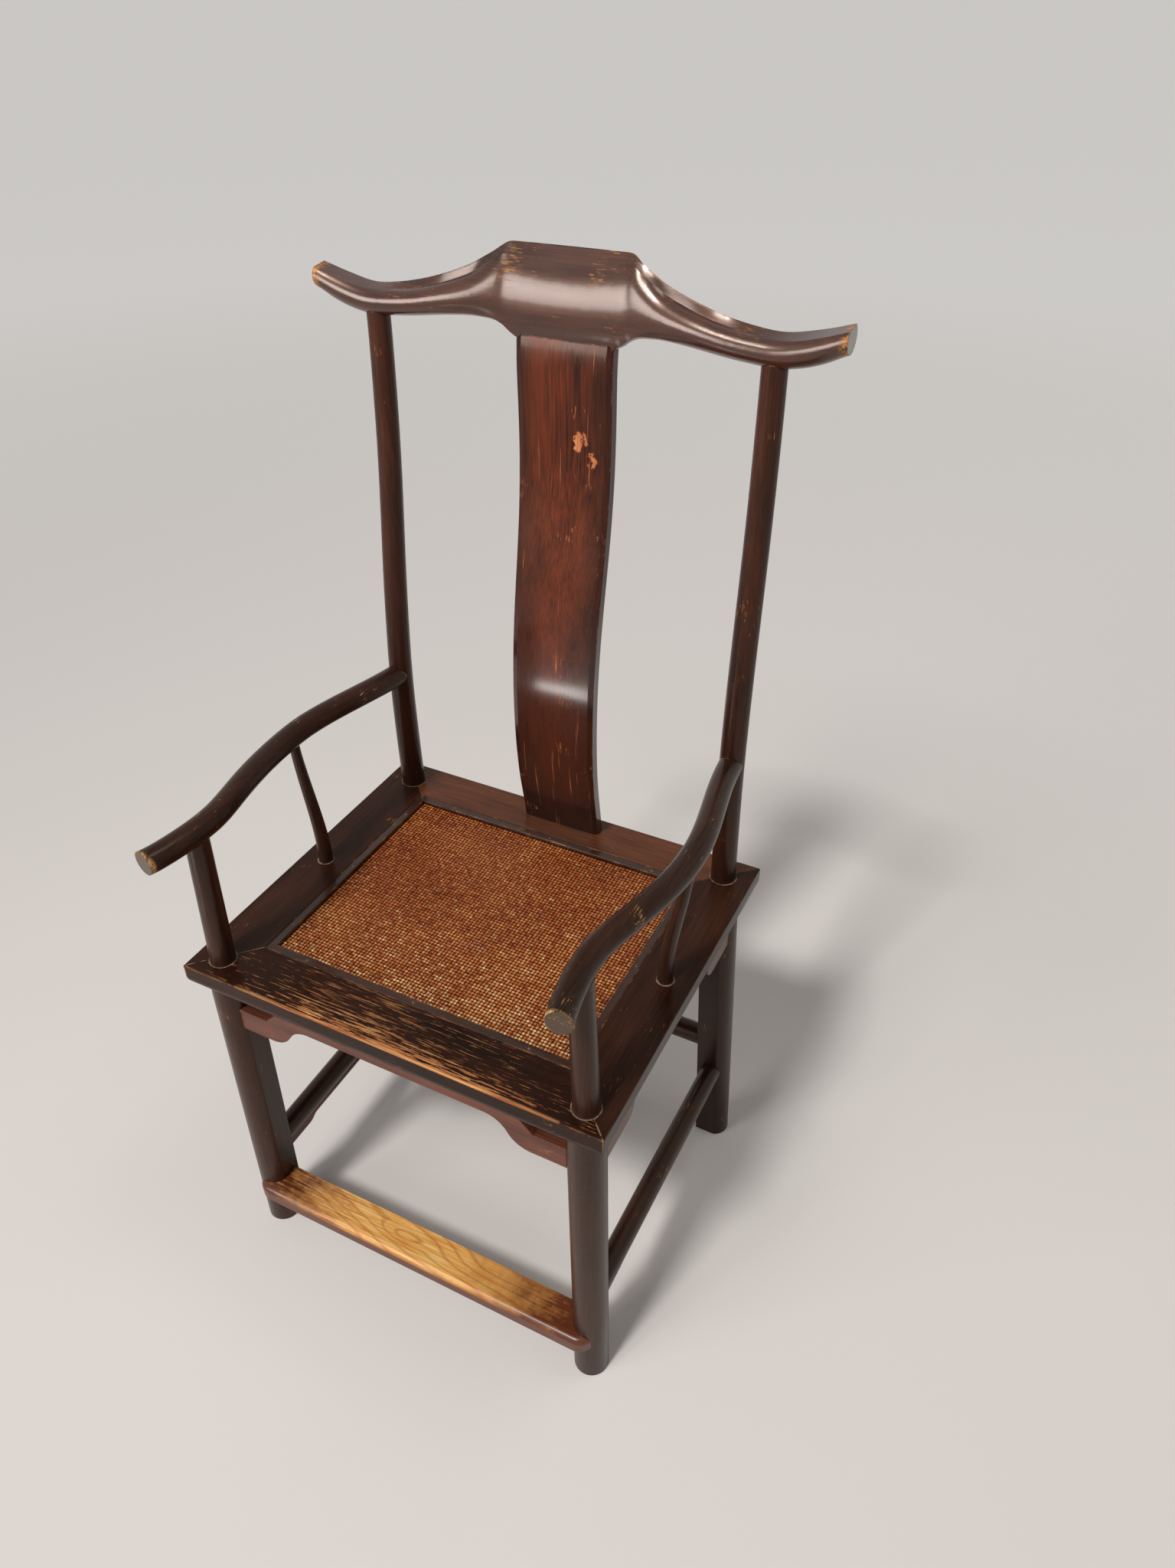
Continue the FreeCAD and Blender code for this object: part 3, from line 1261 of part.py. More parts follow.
for name, side in SIDES:
    z = S.stretcher_height
    front_x, front_y = front_leg_axis(z)
    back_x, back_y = rear_leg_axis(z)
    ovals = []
    for end, x, y in (("front", front_x, front_y), ("back", back_x, back_y)):
        place = standing(side * x, y, z)
        ovals.append(
            oval(f"side_stretcher_{name}_{end}", S.stretcher_half_height, S.stretcher_half_width, place)
        )
    blank = loft(f"side_stretcher_{name}_blank", ovals)
    half_width = S.stretcher_tenon_width / 2
    zs = z - S.stretcher_tenon_height / 2, z + S.stretcher_tenon_height / 2
    front_face = front_y + S.leg_flat
    back_face = back_y - S.leg_flat
    front_xs = across(side, front_x - half_width, front_x + half_width)
    back_xs = across(side, back_x - half_width, back_x + half_width)
    front_spans = front_xs, (front_face - S.tenon_length, front_face + S.overrun), zs
    back_spans = back_xs, (back_face - S.overrun, back_face + S.tenon_length), zs
    tenons = [
        tenon_pair(f"side_stretcher_{name}_front_end", front_spans, front_mortises[side]),
        tenon_pair(f"side_stretcher_{name}_back_end", back_spans, rear_mortises[side]),
    ]
    legs = [front_blanks[side][0], rear_blanks[side]]
    coped = less(f"side_stretcher_{name}_coped", blank, legs)
    finish(joined(f"side_stretcher_{name}_piece", [coped] + tenons), f"side_stretcher_{name}")

    low_apron = Board(f"side_stretcher_apron_{name}_body")
    under = z - S.stretcher_half_height
    plain = under - S.low_apron_drop
    bracket = under - S.low_bracket_drop
    middle_x = (front_x + back_x) / 2
    curve = flipped(
        ogee(-front_face, S.low_bracket_length, S.low_bracket_foot_length, plain, bracket), zero
    )
    outline = curve + [
        (back_y, plain),
        (back_y, under + S.low_apron_overlap),
        (front_y, under + S.low_apron_overlap),
        (front_y, bracket),
    ]
    low_x, high_x = across(
        side, middle_x - S.low_apron_thickness / 2, middle_x + S.low_apron_thickness / 2
    )
    low_apron.add("YZ", low_x, S.low_apron_thickness, [outline])
    finish(
        less(f"side_stretcher_apron_{name}_piece", low_apron.body, [blank] + legs),
        f"side_stretcher_apron_{name}",
    )

z = S.rear_stretcher_height
back_x, back_y = rear_leg_axis(z)
rear_rings = [
    ring(f"rear_stretcher_ring_{name}", S.rear_stretcher_radius, facing(side * back_x, back_y, z, SIDEWAYS))
    for name, side in SIDES
]
rear_blank = loft("rear_stretcher_blank", rear_rings)
rear_tenons = []
for name, side in SIDES:
    face = back_x - S.leg_flat
    spans = (
        across(side, face - S.overrun, face + S.tenon_length),
        (back_y - S.stretcher_tenon_width / 2, back_y + S.stretcher_tenon_width / 2),
        (z - S.stretcher_tenon_height / 2, z + S.stretcher_tenon_height / 2),
    )
    rear_tenons.append(tenon_pair(f"rear_stretcher_{name}", spans, rear_mortises[side]))
coped = less("rear_stretcher_coped", rear_blank, [rear_blanks[side] for name, side in SIDES])
finish(joined("rear_stretcher_piece", [coped] + rear_tenons), "rear_stretcher")

# Legs with their mortises

for name, side in SIDES:
    topped = front_blanks[side][1]
    finish(less(f"front_leg_{name}_piece", topped, front_mortises[side]), f"front_leg_{name}")
    coped = less(f"rear_leg_{name}_coped", rear_blanks[side], [crest_blank])
    mortised = less(f"rear_leg_{name}_mortised", coped, rear_mortises[side])
    finish(joined(f"rear_leg_{name}_piece", [mortised, rear_tops[side]]), f"rear_leg_{name}")

doc.recompute()

# Every object must be sound before anything is written

faults = [f"{item.Name}: {item.State}" for item in doc.Objects if {"Invalid", "Error"} & set(item.State)]
for piece in finished:
    shape = piece.Shape
    if shape.isNull() or not shape.isValid():
        faults.append(f"{piece.Label}: shape is not sound")
if faults:
    raise RuntimeError("; ".join(faults))

for piece in finished:
    solids = len(piece.Shape.Solids)
    print(f"{piece.Label}: {solids} solid(s), {piece.Shape.Volume / 1000:.1f} cm3")
    piece.Shape.exportStep(f"parts/{piece.Label}.step")
print(len(finished), "pieces")
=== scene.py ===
# %% [markdown]
# # An official's hat chair
# The chair's solids come from its CAD model, already at their real size and place, in metres.
# Nothing here moves them. What is left to make is what the eye reads as old lacquer, worn wood
# and woven cane, and the light that shows it.

# %% Load the chair
import math
import bpy
from mathutils import Matrix, Vector


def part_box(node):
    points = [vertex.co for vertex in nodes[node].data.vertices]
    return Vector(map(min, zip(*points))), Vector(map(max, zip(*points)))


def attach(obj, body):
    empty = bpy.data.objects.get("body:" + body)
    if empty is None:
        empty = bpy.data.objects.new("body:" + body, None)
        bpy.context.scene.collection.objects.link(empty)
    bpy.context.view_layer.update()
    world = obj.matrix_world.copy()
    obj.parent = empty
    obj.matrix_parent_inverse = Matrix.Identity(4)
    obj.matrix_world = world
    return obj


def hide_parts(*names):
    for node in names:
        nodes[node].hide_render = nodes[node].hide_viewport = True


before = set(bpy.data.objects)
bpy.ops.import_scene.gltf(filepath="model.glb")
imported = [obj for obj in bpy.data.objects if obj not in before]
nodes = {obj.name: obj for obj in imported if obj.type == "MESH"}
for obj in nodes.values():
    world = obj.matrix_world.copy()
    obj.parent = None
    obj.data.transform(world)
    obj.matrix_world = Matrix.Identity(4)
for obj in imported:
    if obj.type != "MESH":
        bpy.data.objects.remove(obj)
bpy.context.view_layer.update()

# %% [markdown]
# ## A few small tools
# Colours are written as the hex values that a colour picker shows. Blender's sockets want linear
# light, so one function turns them. A second one adds a shader node with its settings and links,
# and gives back the socket that the next node reads, so a material reads from top to bottom.

# %% Colours and nodes
def linear(hex_colour):
    """A hex colour such as #3A251D as linear red, green, blue and alpha."""
    values = [int(hex_colour[i:i + 2], 16) / 255 for i in (1, 3, 5)]
    return [v / 12.92 if v <= 0.04045 else ((v + 0.055) / 1.055) ** 2.4 for v in values] + [1]


def add(tree, kind, inputs=None, out=0, stops=None, **settings):
    """Adds one node, sets its options, links or sets its inputs, and gives one of its outputs."""
    node = tree.nodes.new("ShaderNode" + kind)
    for option, value in settings.items():
        setattr(node, option, value)
    for socket, value in (inputs or {}).items():
        if isinstance(value, bpy.types.NodeSocket):
            tree.links.new(value, node.inputs[socket])
        else:
            node.inputs[socket].default_value = linear(value) if isinstance(value, str) else value
    for place, (position, colour) in enumerate(stops or ()):
        ramp = node.color_ramp.elements
        stop = ramp[place] if place < 2 else ramp.new(position)
        stop.position, stop.color = position, linear(colour)
    return node.outputs[out] if node.outputs else node


def finish_called(name):
    """A new material with its shader, the tree that holds it and the point's place on the chair."""
    material = bpy.data.materials.new(name)
    material.use_nodes = True
    tree = material.node_tree
    tree.nodes.clear()
    shader = add(tree, "BsdfPrincipled").node
    add(tree, "OutputMaterial", {"Surface": shader.outputs[0]})
    return material, tree, shader, add(tree, "TexCoord", out="Object")


# %% [markdown]
# Wood is full of long thin marks. A noise makes them when it is squeezed across the grain and
# stretched along it, so each pattern is given by the size of its blots in millimetres, as one
# would measure them on the chair.

# %% Patterns by their size
def mm(*sizes):
    """How often a pattern of these sizes in millimetres repeats in a metre, one value per axis."""
    return [1000 / size for size in sizes]


def streaks(tree, place, sizes, detail, roughness):
    """A cloudy pattern whose blots have these sizes in millimetres along X, Y and Z."""
    stretched = add(tree, "Mapping", {"Vector": place, "Scale": mm(*sizes)})
    return add(tree, "TexNoise", {"Vector": stretched, "Scale": 1, "Detail": detail,
                                  "Roughness": roughness})


def along_grain(grain, length, width):
    """The sizes of a blot on X, Y and Z, long along the grain and narrow across it."""
    return [length if axis == grain else width for axis in "xyz"]


# %% [markdown]
# ## Old dark lacquer
# The chair is dense hardwood under many thin coats of dark lacquer, rubbed by hands for a long
# time. Four things give it away: a faint grain that still shows through, a satin sheen that is
# uneven from hand to hand, wood that comes through gold where an edge has been rubbed, and small
# flecks where the film has chipped. One could paint all this on a picture for each piece. Here
# it is worked out from a point's place on the chair, so one function serves every piece, and the
# grain follows each piece's own length.

# %% The film's colour
GRAIN_LENGTH, GRAIN_WIDTH = 70, 2.2  # real pores are about 0.2 mm wide, drawn coarser to show
CLOUD_LENGTH, CLOUD_WIDTH = 190, 42  # how far the film keeps one thickness
THICK_FILM, THIN_FILM = 0.74, 1.3  # of grain and cloud added up
DARK_SIDE_TONE = 0.25


def film(tree, place, tone, colours, dark_below, dark_beside):
    """The film's two colours, thick to thin. It can darken downwards, or away from the middle."""
    if dark_below:
        height = add(tree, "SeparateXYZ", {"Vector": place}, out="Z")
        height = add(tree, "MapRange", {"Value": height, "From Min": dark_below[0],
                                        "From Max": dark_below[1]})
        tone = add(tree, "Math", {0: tone, 1: height}, operation="MULTIPLY")
    if dark_beside:
        aside = add(tree, "SeparateXYZ", {"Vector": place}, out="X")
        aside = add(tree, "Math", {0: aside}, operation="ABSOLUTE")
        aside = add(tree, "MapRange", {"Value": aside, "From Min": dark_beside[1],
                                       "From Max": dark_beside[0], "To Min": DARK_SIDE_TONE})
        tone = add(tree, "Math", {0: tone, 1: aside}, operation="MULTIPLY")
    return add(tree, "Mix", {0: tone, 6: colours[0], 7: colours[1]}, out=2, data_type="RGBA")


# %% [markdown]
# The Bevel node finds the edges: it averages the normal over a few millimetres, and where that
# average leaves the surface's own normal there is an edge. The same average also serves as the
# shading normal, so a sharp CAD edge catches the light like a rounded one. A coarse noise breaks
# the bare edge into chips, and wear, from 0 to 1, lowers the level at which it is cut off.

# %% Rubbed edges and flecks
EDGE_RADIUS = 0.0022
FLAT, SHARP = 0.995, 0.86  # how well the two normals agree on a face and at an edge
CHIP_SIZE, FLECK_AREA_SIZE = 22, 45
FLECK_LENGTH, FLECK_WIDTH = 13, 2


def rubbed_edges(tree, place, wear, radius):
    """Where the edges are bare, and the normal that rounds them."""
    round_normal = add(tree, "Bevel", {"Radius": radius}, samples=6)
    own_normal = add(tree, "NewGeometry", out="Normal")
    same = add(tree, "VectorMath", {0: round_normal, 1: own_normal}, out="Value",
               operation="DOT_PRODUCT")
    edge = add(tree, "MapRange", {"Value": same, "From Min": FLAT, "From Max": SHARP})
    chips = add(tree, "TexNoise", {"Vector": place, "Scale": mm(CHIP_SIZE)[0], "Detail": 6,
                                   "Roughness": 0.72})
    chips = add(tree, "MapRange", {"Value": chips, "From Min": 0.68 - 0.26 * wear,
                                   "From Max": 0.76 - 0.24 * wear})
    return add(tree, "Math", {0: edge, 1: chips}, operation="MULTIPLY"), round_normal


def flecks(tree, place, grain, wear):
    """Small chips along the grain, gathered in a few areas."""
    chips = streaks(tree, place, along_grain(grain, FLECK_LENGTH, FLECK_WIDTH), 3, 0.6)
    area = add(tree, "TexNoise", {"Vector": place, "Scale": mm(FLECK_AREA_SIZE)[0], "Detail": 2})
    chips = add(tree, "Math", {0: chips, 1: area}, operation="ADD")
    return add(tree, "MapRange", {"Value": chips, "From Min": 1.31 - 0.08 * wear,
                                  "From Max": 1.37 - 0.08 * wear, "To Max": 0.5})


# %% [markdown]
# Hands don't polish evenly, so the roughness follows the same slow clouds as the colour. Bare
# wood is duller than the film. Over the film lies a clear polish, which the shader has as its
# coat, and it is missing where the film is gone.

# %% Sheen
SMOOTHEST, ROUGHEST = 0.06, 0.1  # how far the clouds take the roughness down and up
BARE_WOOD_DULLER, COAT_SMOOTHER = 0.14, 0.12
POLISH_ABOVE = 0.2


def sheen(tree, shader, place, cloud, worn, gloss, coat, polished_below):
    """Satin that is uneven from hand to hand. The polish can fade above a height."""
    smear = add(tree, "MapRange", {"Value": cloud, "From Min": 0.3, "From Max": 0.7,
                                   "To Min": gloss - SMOOTHEST, "To Max": gloss + ROUGHEST})
    duller = add(tree, "MapRange", {"Value": worn, "To Min": 0, "To Max": BARE_WOOD_DULLER})
    roughness = add(tree, "Math", {0: smear, 1: duller}, operation="ADD")
    tree.links.new(roughness, shader.inputs["Roughness"])
    polish = add(tree, "MapRange", {"Value": worn, "To Min": coat, "To Max": 0})
    if polished_below:
        height = add(tree, "SeparateXYZ", {"Vector": place}, out="Z")
        height = add(tree, "MapRange", {"Value": height, "From Min": polished_below[0],
                                        "From Max": polished_below[1], "To Min": 1,
                                        "To Max": POLISH_ABOVE})
        polish = add(tree, "Math", {0: polish, 1: height}, operation="MULTIPLY")
    tree.links.new(polish, shader.inputs["Coat Weight"])
    shader.inputs["Coat Roughness"].default_value = gloss - COAT_SMOOTHER


# %% [markdown]
# Now the parts come together: the film's colour, the wood under it where it is worn, dust and
# painted highlights over both, the sheen, and the grain as a shallow relief. What differs from
# piece to piece comes in as a value, or as a function that draws marks of the piece's own.

# %% The whole lacquer
HARDWOOD = ("#6E3A1C", "#C58A4A")
# Pale dust; on the frame's rings and mitres and on the arms' ends it is also a painted highlight
DUST_AND_HIGHLIGHT = "#94826F"
WARM_SHEEN = "#FFDCC6"  # old lacquer gives light back a little warmer than it came
GRAIN_DEPTH = 0.0004


def lacquer(name, grain, film_colours, wear=0.5, rubbed=None, dust_and_highlight=None, gloss=0.3, shine=0.28,
            coat=0.1, wood=HARDWOOD, dark_below=None, dark_beside=None, polished_below=None,
            edge_radius=EDGE_RADIUS):
    """Lacquered hardwood, grain along one axis. Functions add wear, dust and painted highlights."""
    material, tree, shader, place = finish_called(name)
    fibre = streaks(tree, place, along_grain(grain, GRAIN_LENGTH, GRAIN_WIDTH), 5, 0.62)
    cloud = streaks(tree, place, along_grain(grain, CLOUD_LENGTH, CLOUD_WIDTH), 3, 0.55)
    tone = add(tree, "Math", {0: fibre, 1: cloud}, operation="ADD")
    tone = add(tree, "MapRange", {"Value": tone, "From Min": THICK_FILM, "From Max": THIN_FILM})
    colour = film(tree, place, tone, film_colours, dark_below, dark_beside)

    # Worn edges; on the strips, whose edges are taken wide, they also stand as a painted highlight.
    worn, round_normal = rubbed_edges(tree, place, wear, edge_radius)
    worn = add(tree, "Math", {0: worn, 1: flecks(tree, place, grain, wear)}, operation="MAXIMUM")
    # Rubbed marks are worn wood; the front rail's also hold a painted highlight along its edge.
    if rubbed:
        worn = add(tree, "Math", {0: worn, 1: rubbed(tree, place)}, operation="MAXIMUM")
    bare = add(tree, "MapRange", {"Value": fibre, "From Min": 0.35, "From Max": 0.65})
    bare = add(tree, "Mix", {0: bare, 6: wood[0], 7: wood[1]}, out=2, data_type="RGBA")
    colour = add(tree, "Mix", {0: worn, 6: colour, 7: bare}, out=2, data_type="RGBA")
    if dust_and_highlight:
        colour = add(tree, "Mix", {0: dust_and_highlight(tree, place), 6: colour, 7: DUST_AND_HIGHLIGHT}, out=2,
                     data_type="RGBA")
    tree.links.new(colour, shader.inputs["Base Color"])

    sheen(tree, shader, place, cloud, worn, gloss, coat, polished_below)
    relief = add(tree, "Bump", {"Height": fibre, "Strength": 0.14, "Distance": GRAIN_DEPTH,
                                "Normal": round_normal})
    tree.links.new(relief, shader.inputs["Normal"])
    shader.inputs["Specular IOR Level"].default_value = shine
    shader.inputs["Specular Tint"].default_value = linear(WARM_SHEEN)
    return material


# %% [markdown]
# A finish reaches a CAD piece through its material slots. The piece's mesh and place stay as
# they came, so the dressed chair is still the measured one.

# %% Dress a piece
def dress(material, *names):
    """Gives a finish to CAD pieces through their material slots."""
    for name in names:
        slots = nodes[name].data.materials
        slots.clear()
        slots.append(material)
    print(material.name, "on", ", ".join(names))


# %% [markdown]
# ## Legs and posts
# Each front leg is one piece with the post that carries the arm, and each rear leg one piece
# with the tall post of the back. Their lacquer is thick and brown-black. The rear posts turn
# redder towards the top, where hands that lift the chair have thinned it. One finish could serve
# them all, but each group has its own pair of colours, because that is what the eye compares.

# %% Lacquer on legs and posts
LEG_FILM = ("#23130D", "#43291F")
REAR_POST_FILM = ("#20100A", "#562A1B")
REAR_POST_DARK_BELOW = (0.4, 1.3)
DARK_FILM = ("#1E0F09", "#3E271C")

# Thick lacquer on upright hardwood: deep brown, with few bare edges
dress(lacquer("old_lacquer_on_legs", "z", LEG_FILM, 0.35), "front_leg_left", "front_leg_right")
# The same, thinned by hands: dark at the foot, redder at the top
dress(lacquer("redder_lacquer_on_rear_posts", "z", REAR_POST_FILM, 0.45,
              dark_below=REAR_POST_DARK_BELOW), "rear_leg_left", "rear_leg_right")
# Lacquer on slender turned posts: nearly black, hardly worn
dress(lacquer("old_lacquer_on_side_posts", "z", DARK_FILM, 0.3),
      "side_post_left", "side_post_right")

# %% [markdown]
# ## The arms
# Hands hold the arms at their tips, so the rim of each sawn end has lost its lacquer. The end
# grain itself is painted grey, as dust and as a painted sheen where the end faces meet the light.
# Both marks are limited to about the last centimetre by the point's place, and told apart by the
# way that the surface faces. That needs no extra edges in the mesh, as a separate material would.

# %% Worn tips and cut ends
TIP_CHIP_SIZE = 9
ARM_TIP = (-0.245, -0.25)  # Y, from where the grey of dust and painted sheen starts to where it is full
END_FACING = (-0.93, -0.96)  # the normal's Y, the same way round
# how grey the end faces are painted: dust and painted sheen
END_DUST_AND_SHEEN = 0.26


def worn_tips(axis, start, end):
    """Bare patches round the rim of a piece's ends, which lie start to end from the middle."""
    def rims(tree, place):
        along = add(tree, "SeparateXYZ", {"Vector": place}, out=axis)
        along = add(tree, "Math", {0: along}, operation="ABSOLUTE")
        rim = add(tree, "MapRange", {"Value": along, "From Min": start, "From Max": end})
        facing = add(tree, "NewGeometry", out="Normal")
        facing = add(tree, "SeparateXYZ", {"Vector": facing}, out=axis)
        facing = add(tree, "Math", {0: facing}, operation="ABSOLUTE")
        flank = add(tree, "MapRange", {"Value": facing, "From Min": 0.9, "From Max": 0.7})
        rim = add(tree, "Math", {0: rim, 1: flank}, operation="MULTIPLY")
        chips = add(tree, "TexNoise", {"Vector": place, "Scale": mm(TIP_CHIP_SIZE)[0],
                                       "Detail": 4, "Roughness": 0.7})
        chips = add(tree, "MapRange", {"Value": chips, "From Min": 0.42, "From Max": 0.5})
        return add(tree, "Math", {0: rim, 1: chips}, operation="MULTIPLY")
    return rims


def end_dust_and_sheen(tree, place):
    """The sawn ends of the arms, painted grey: a veil of dust and a painted sheen on the end grain.
    """
    facing = add(tree, "NewGeometry", out="Normal")
    facing = add(tree, "SeparateXYZ", {"Vector": facing}, out="Y")
    facing = add(tree, "MapRange", {"Value": facing, "From Min": END_FACING[0],
                                    "From Max": END_FACING[1], "To Max": END_DUST_AND_SHEEN})
    ahead = add(tree, "SeparateXYZ", {"Vector": place}, out="Y")
    ahead = add(tree, "MapRange", {"Value": ahead, "From Min": ARM_TIP[0],
                                   "From Max": ARM_TIP[1]})
    return add(tree, "Math", {0: facing, 1: ahead}, operation="MULTIPLY")


# %% Lacquer on the arms
ARM_RIM = (0.2548, 0.2578)
ARM_WOOD = ("#9A6A40", "#D8AE74")

# Lacquer smoothed by forearms: nearly black, gold rims at the tips, ends grey with dust and
# painted sheen
dress(lacquer("old_lacquer_on_arms", "y", DARK_FILM, 0.75, worn_tips("Y", *ARM_RIM), end_dust_and_sheen,
              gloss=0.26, shine=0.18, wood=ARM_WOOD), "arm_left", "arm_right")

# %% [markdown]
# ## Stretchers and aprons
# Stretchers are the round and oval bars that tie the legs, and aprons the thin boards under the
# seat and under the bars. The bars are as dark as the arms. The boards have a thinner film,
# through which the wood's own red-brown shows. Grain runs along each piece, so pieces that lie
# along X and along Y need a material each.

# %% Lacquer on stretchers and aprons
RED_FILM = ("#43231A", "#7A4636")

# Lacquer on bars that heels knock: black-brown with bare flecks
dress(lacquer("old_lacquer_deep_grain", "y", DARK_FILM, 0.6),
      "side_stretcher_left", "side_stretcher_right")
dress(lacquer("old_lacquer_wide_grain", "x", DARK_FILM, 0.5), "rear_stretcher")
# Thin lacquer on sawn boards: a dull red-brown, lighter than the frame
dress(lacquer("thin_red_lacquer_wide_grain", "x", RED_FILM, 0.45),
      "front_apron", "back_apron", "footrest_apron")
dress(lacquer("thin_red_lacquer_deep_grain", "y", RED_FILM, 0.45),
      "side_apron_left", "side_apron_right",
      "side_stretcher_apron_left", "side_stretcher_apron_right")

# %% [markdown]
# ## The seat frame
# The frame's top is where the lacquer tells most. A pale ring of dust and wax has gathered where
# each post goes through, and the mitres have opened as hair lines. Both are painted pale, as dust
# and as a painted highlight where light catches the gaps. Thin rings could be modelled, but they
# have no thickness, so they are drawn by the point's distance from a post and from a mitre line.
# X is folded at the middle, so one post stands for two.

# %% Rings round the posts and hair lines at the mitres
FRONT_POST, REAR_POST = (0.2408, -0.19595, 0.0150), (0.2373, 0.20505, 0.0160)
SIDE_POST = (0.2425, 0.00525, 0.0093)
RING_OUTSIDE, RING_INSIDE = 0.0022, 0.0012
RIPPLE_SIZE = 11
FRAME_CORNER = (0.275, -0.22625)
HAIR_OUTSIDE, HAIR_INSIDE = 0.0009, 0.0003
FRAME_TOP = (0.488, 0.489)


def frame_dust_and_highlights(tree, place):
    """Dust and painted highlight: rings round the six posts, lines at front mitres, on the frame's
    top.
    """
    x, y, z = (add(tree, "SeparateXYZ", {"Vector": place}, out=axis) for axis in "XYZ")
    folded = add(tree, "Math", {0: x}, operation="ABSOLUTE")
    ripple = add(tree, "TexNoise", {"Vector": place, "Scale": mm(RIPPLE_SIZE)[0], "Detail": 4,
                                    "Roughness": 0.7})
    found = None
    for post_x, post_y, radius in (FRONT_POST, REAR_POST, SIDE_POST):
        aside = add(tree, "Math", {0: folded, 1: post_x}, operation="SUBTRACT")
        ahead = add(tree, "Math", {0: y, 1: post_y}, operation="SUBTRACT")
        away = add(tree, "CombineXYZ", {"X": aside, "Y": ahead})
        away = add(tree, "VectorMath", {0: away}, out="Value", operation="LENGTH")
        ring = add(tree, "MapRange", {"Value": away, "From Min": radius + RING_OUTSIDE,
                                      "From Max": radius + RING_INSIDE})
        found = ring if found is None else add(tree, "Math", {0: found, 1: ring},
                                               operation="MAXIMUM")
    # Painted pale: dust and wax, and a painted highlight where light catches the gap at each post.
    dust_and_highlight = add(tree, "MapRange", {"Value": ripple, "From Min": 0.36, "From Max": 0.55})
    found = add(tree, "Math", {0: found, 1: dust_and_highlight}, operation="MULTIPLY")
    from_side = add(tree, "Math", {0: FRAME_CORNER[0], 1: folded}, operation="SUBTRACT")
    from_front = add(tree, "Math", {0: y, 1: FRAME_CORNER[1]}, operation="SUBTRACT")
    off_line = add(tree, "Math", {0: from_side, 1: from_front}, operation="SUBTRACT")
    off_line = add(tree, "Math", {0: off_line}, operation="ABSOLUTE")
    hair = add(tree, "MapRange", {"Value": off_line, "From Min": HAIR_OUTSIDE,
                                  "From Max": HAIR_INSIDE})
    broken = add(tree, "MapRange", {"Value": ripple, "From Min": 0.44, "From Max": 0.5})
    hair = add(tree, "Math", {0: hair, 1: broken}, operation="MULTIPLY")
    found = add(tree, "Math", {0: found, 1: hair}, operation="MAXIMUM")
    top = add(tree, "MapRange", {"Value": z, "From Min": FRAME_TOP[0], "From Max": FRAME_TOP[1]})
    return add(tree, "Math", {0: found, 1: top}, operation="MULTIPLY")


# %% [markdown]
# The front rail is rubbed to wood in long streaks by every sitter's legs. Its wear is one fine
# pattern along the grain that is cut off at a level. An amount is added to it before the cut:
# much near the front edge where legs press, a little in a patch that reaches back to the mat,
# nothing at the ends. So the streaks thicken and thin out by themselves, as real wear does.

# %% Wear from sitters' legs, and a painted highlight on the front edge
# Where wear starts and where it is full, by Y towards the front edge and by X from each side
RUBBED_DEPTH = (-0.178, -0.226)
RUBBED_LEFT, RUBBED_RIGHT = (-0.2, 0.06), (0.225, 0.13)
PATCH_LEFT, PATCH_RIGHT = (-0.17, -0.1), (0.1, 0)
STREAK_SIZES = (40, 2.3, 2.3)
MORE_AT_FRONT, MORE_IN_PATCH = 0.145, 0.06
# The front edge's gold: wear, and a painted highlight along the brink
BRINK_WEAR_AND_HIGHLIGHT, BRINK_FULLNESS = (-0.2222, -0.2246), 0.35
RAIL_TOP = (0.5035, 0.5055)


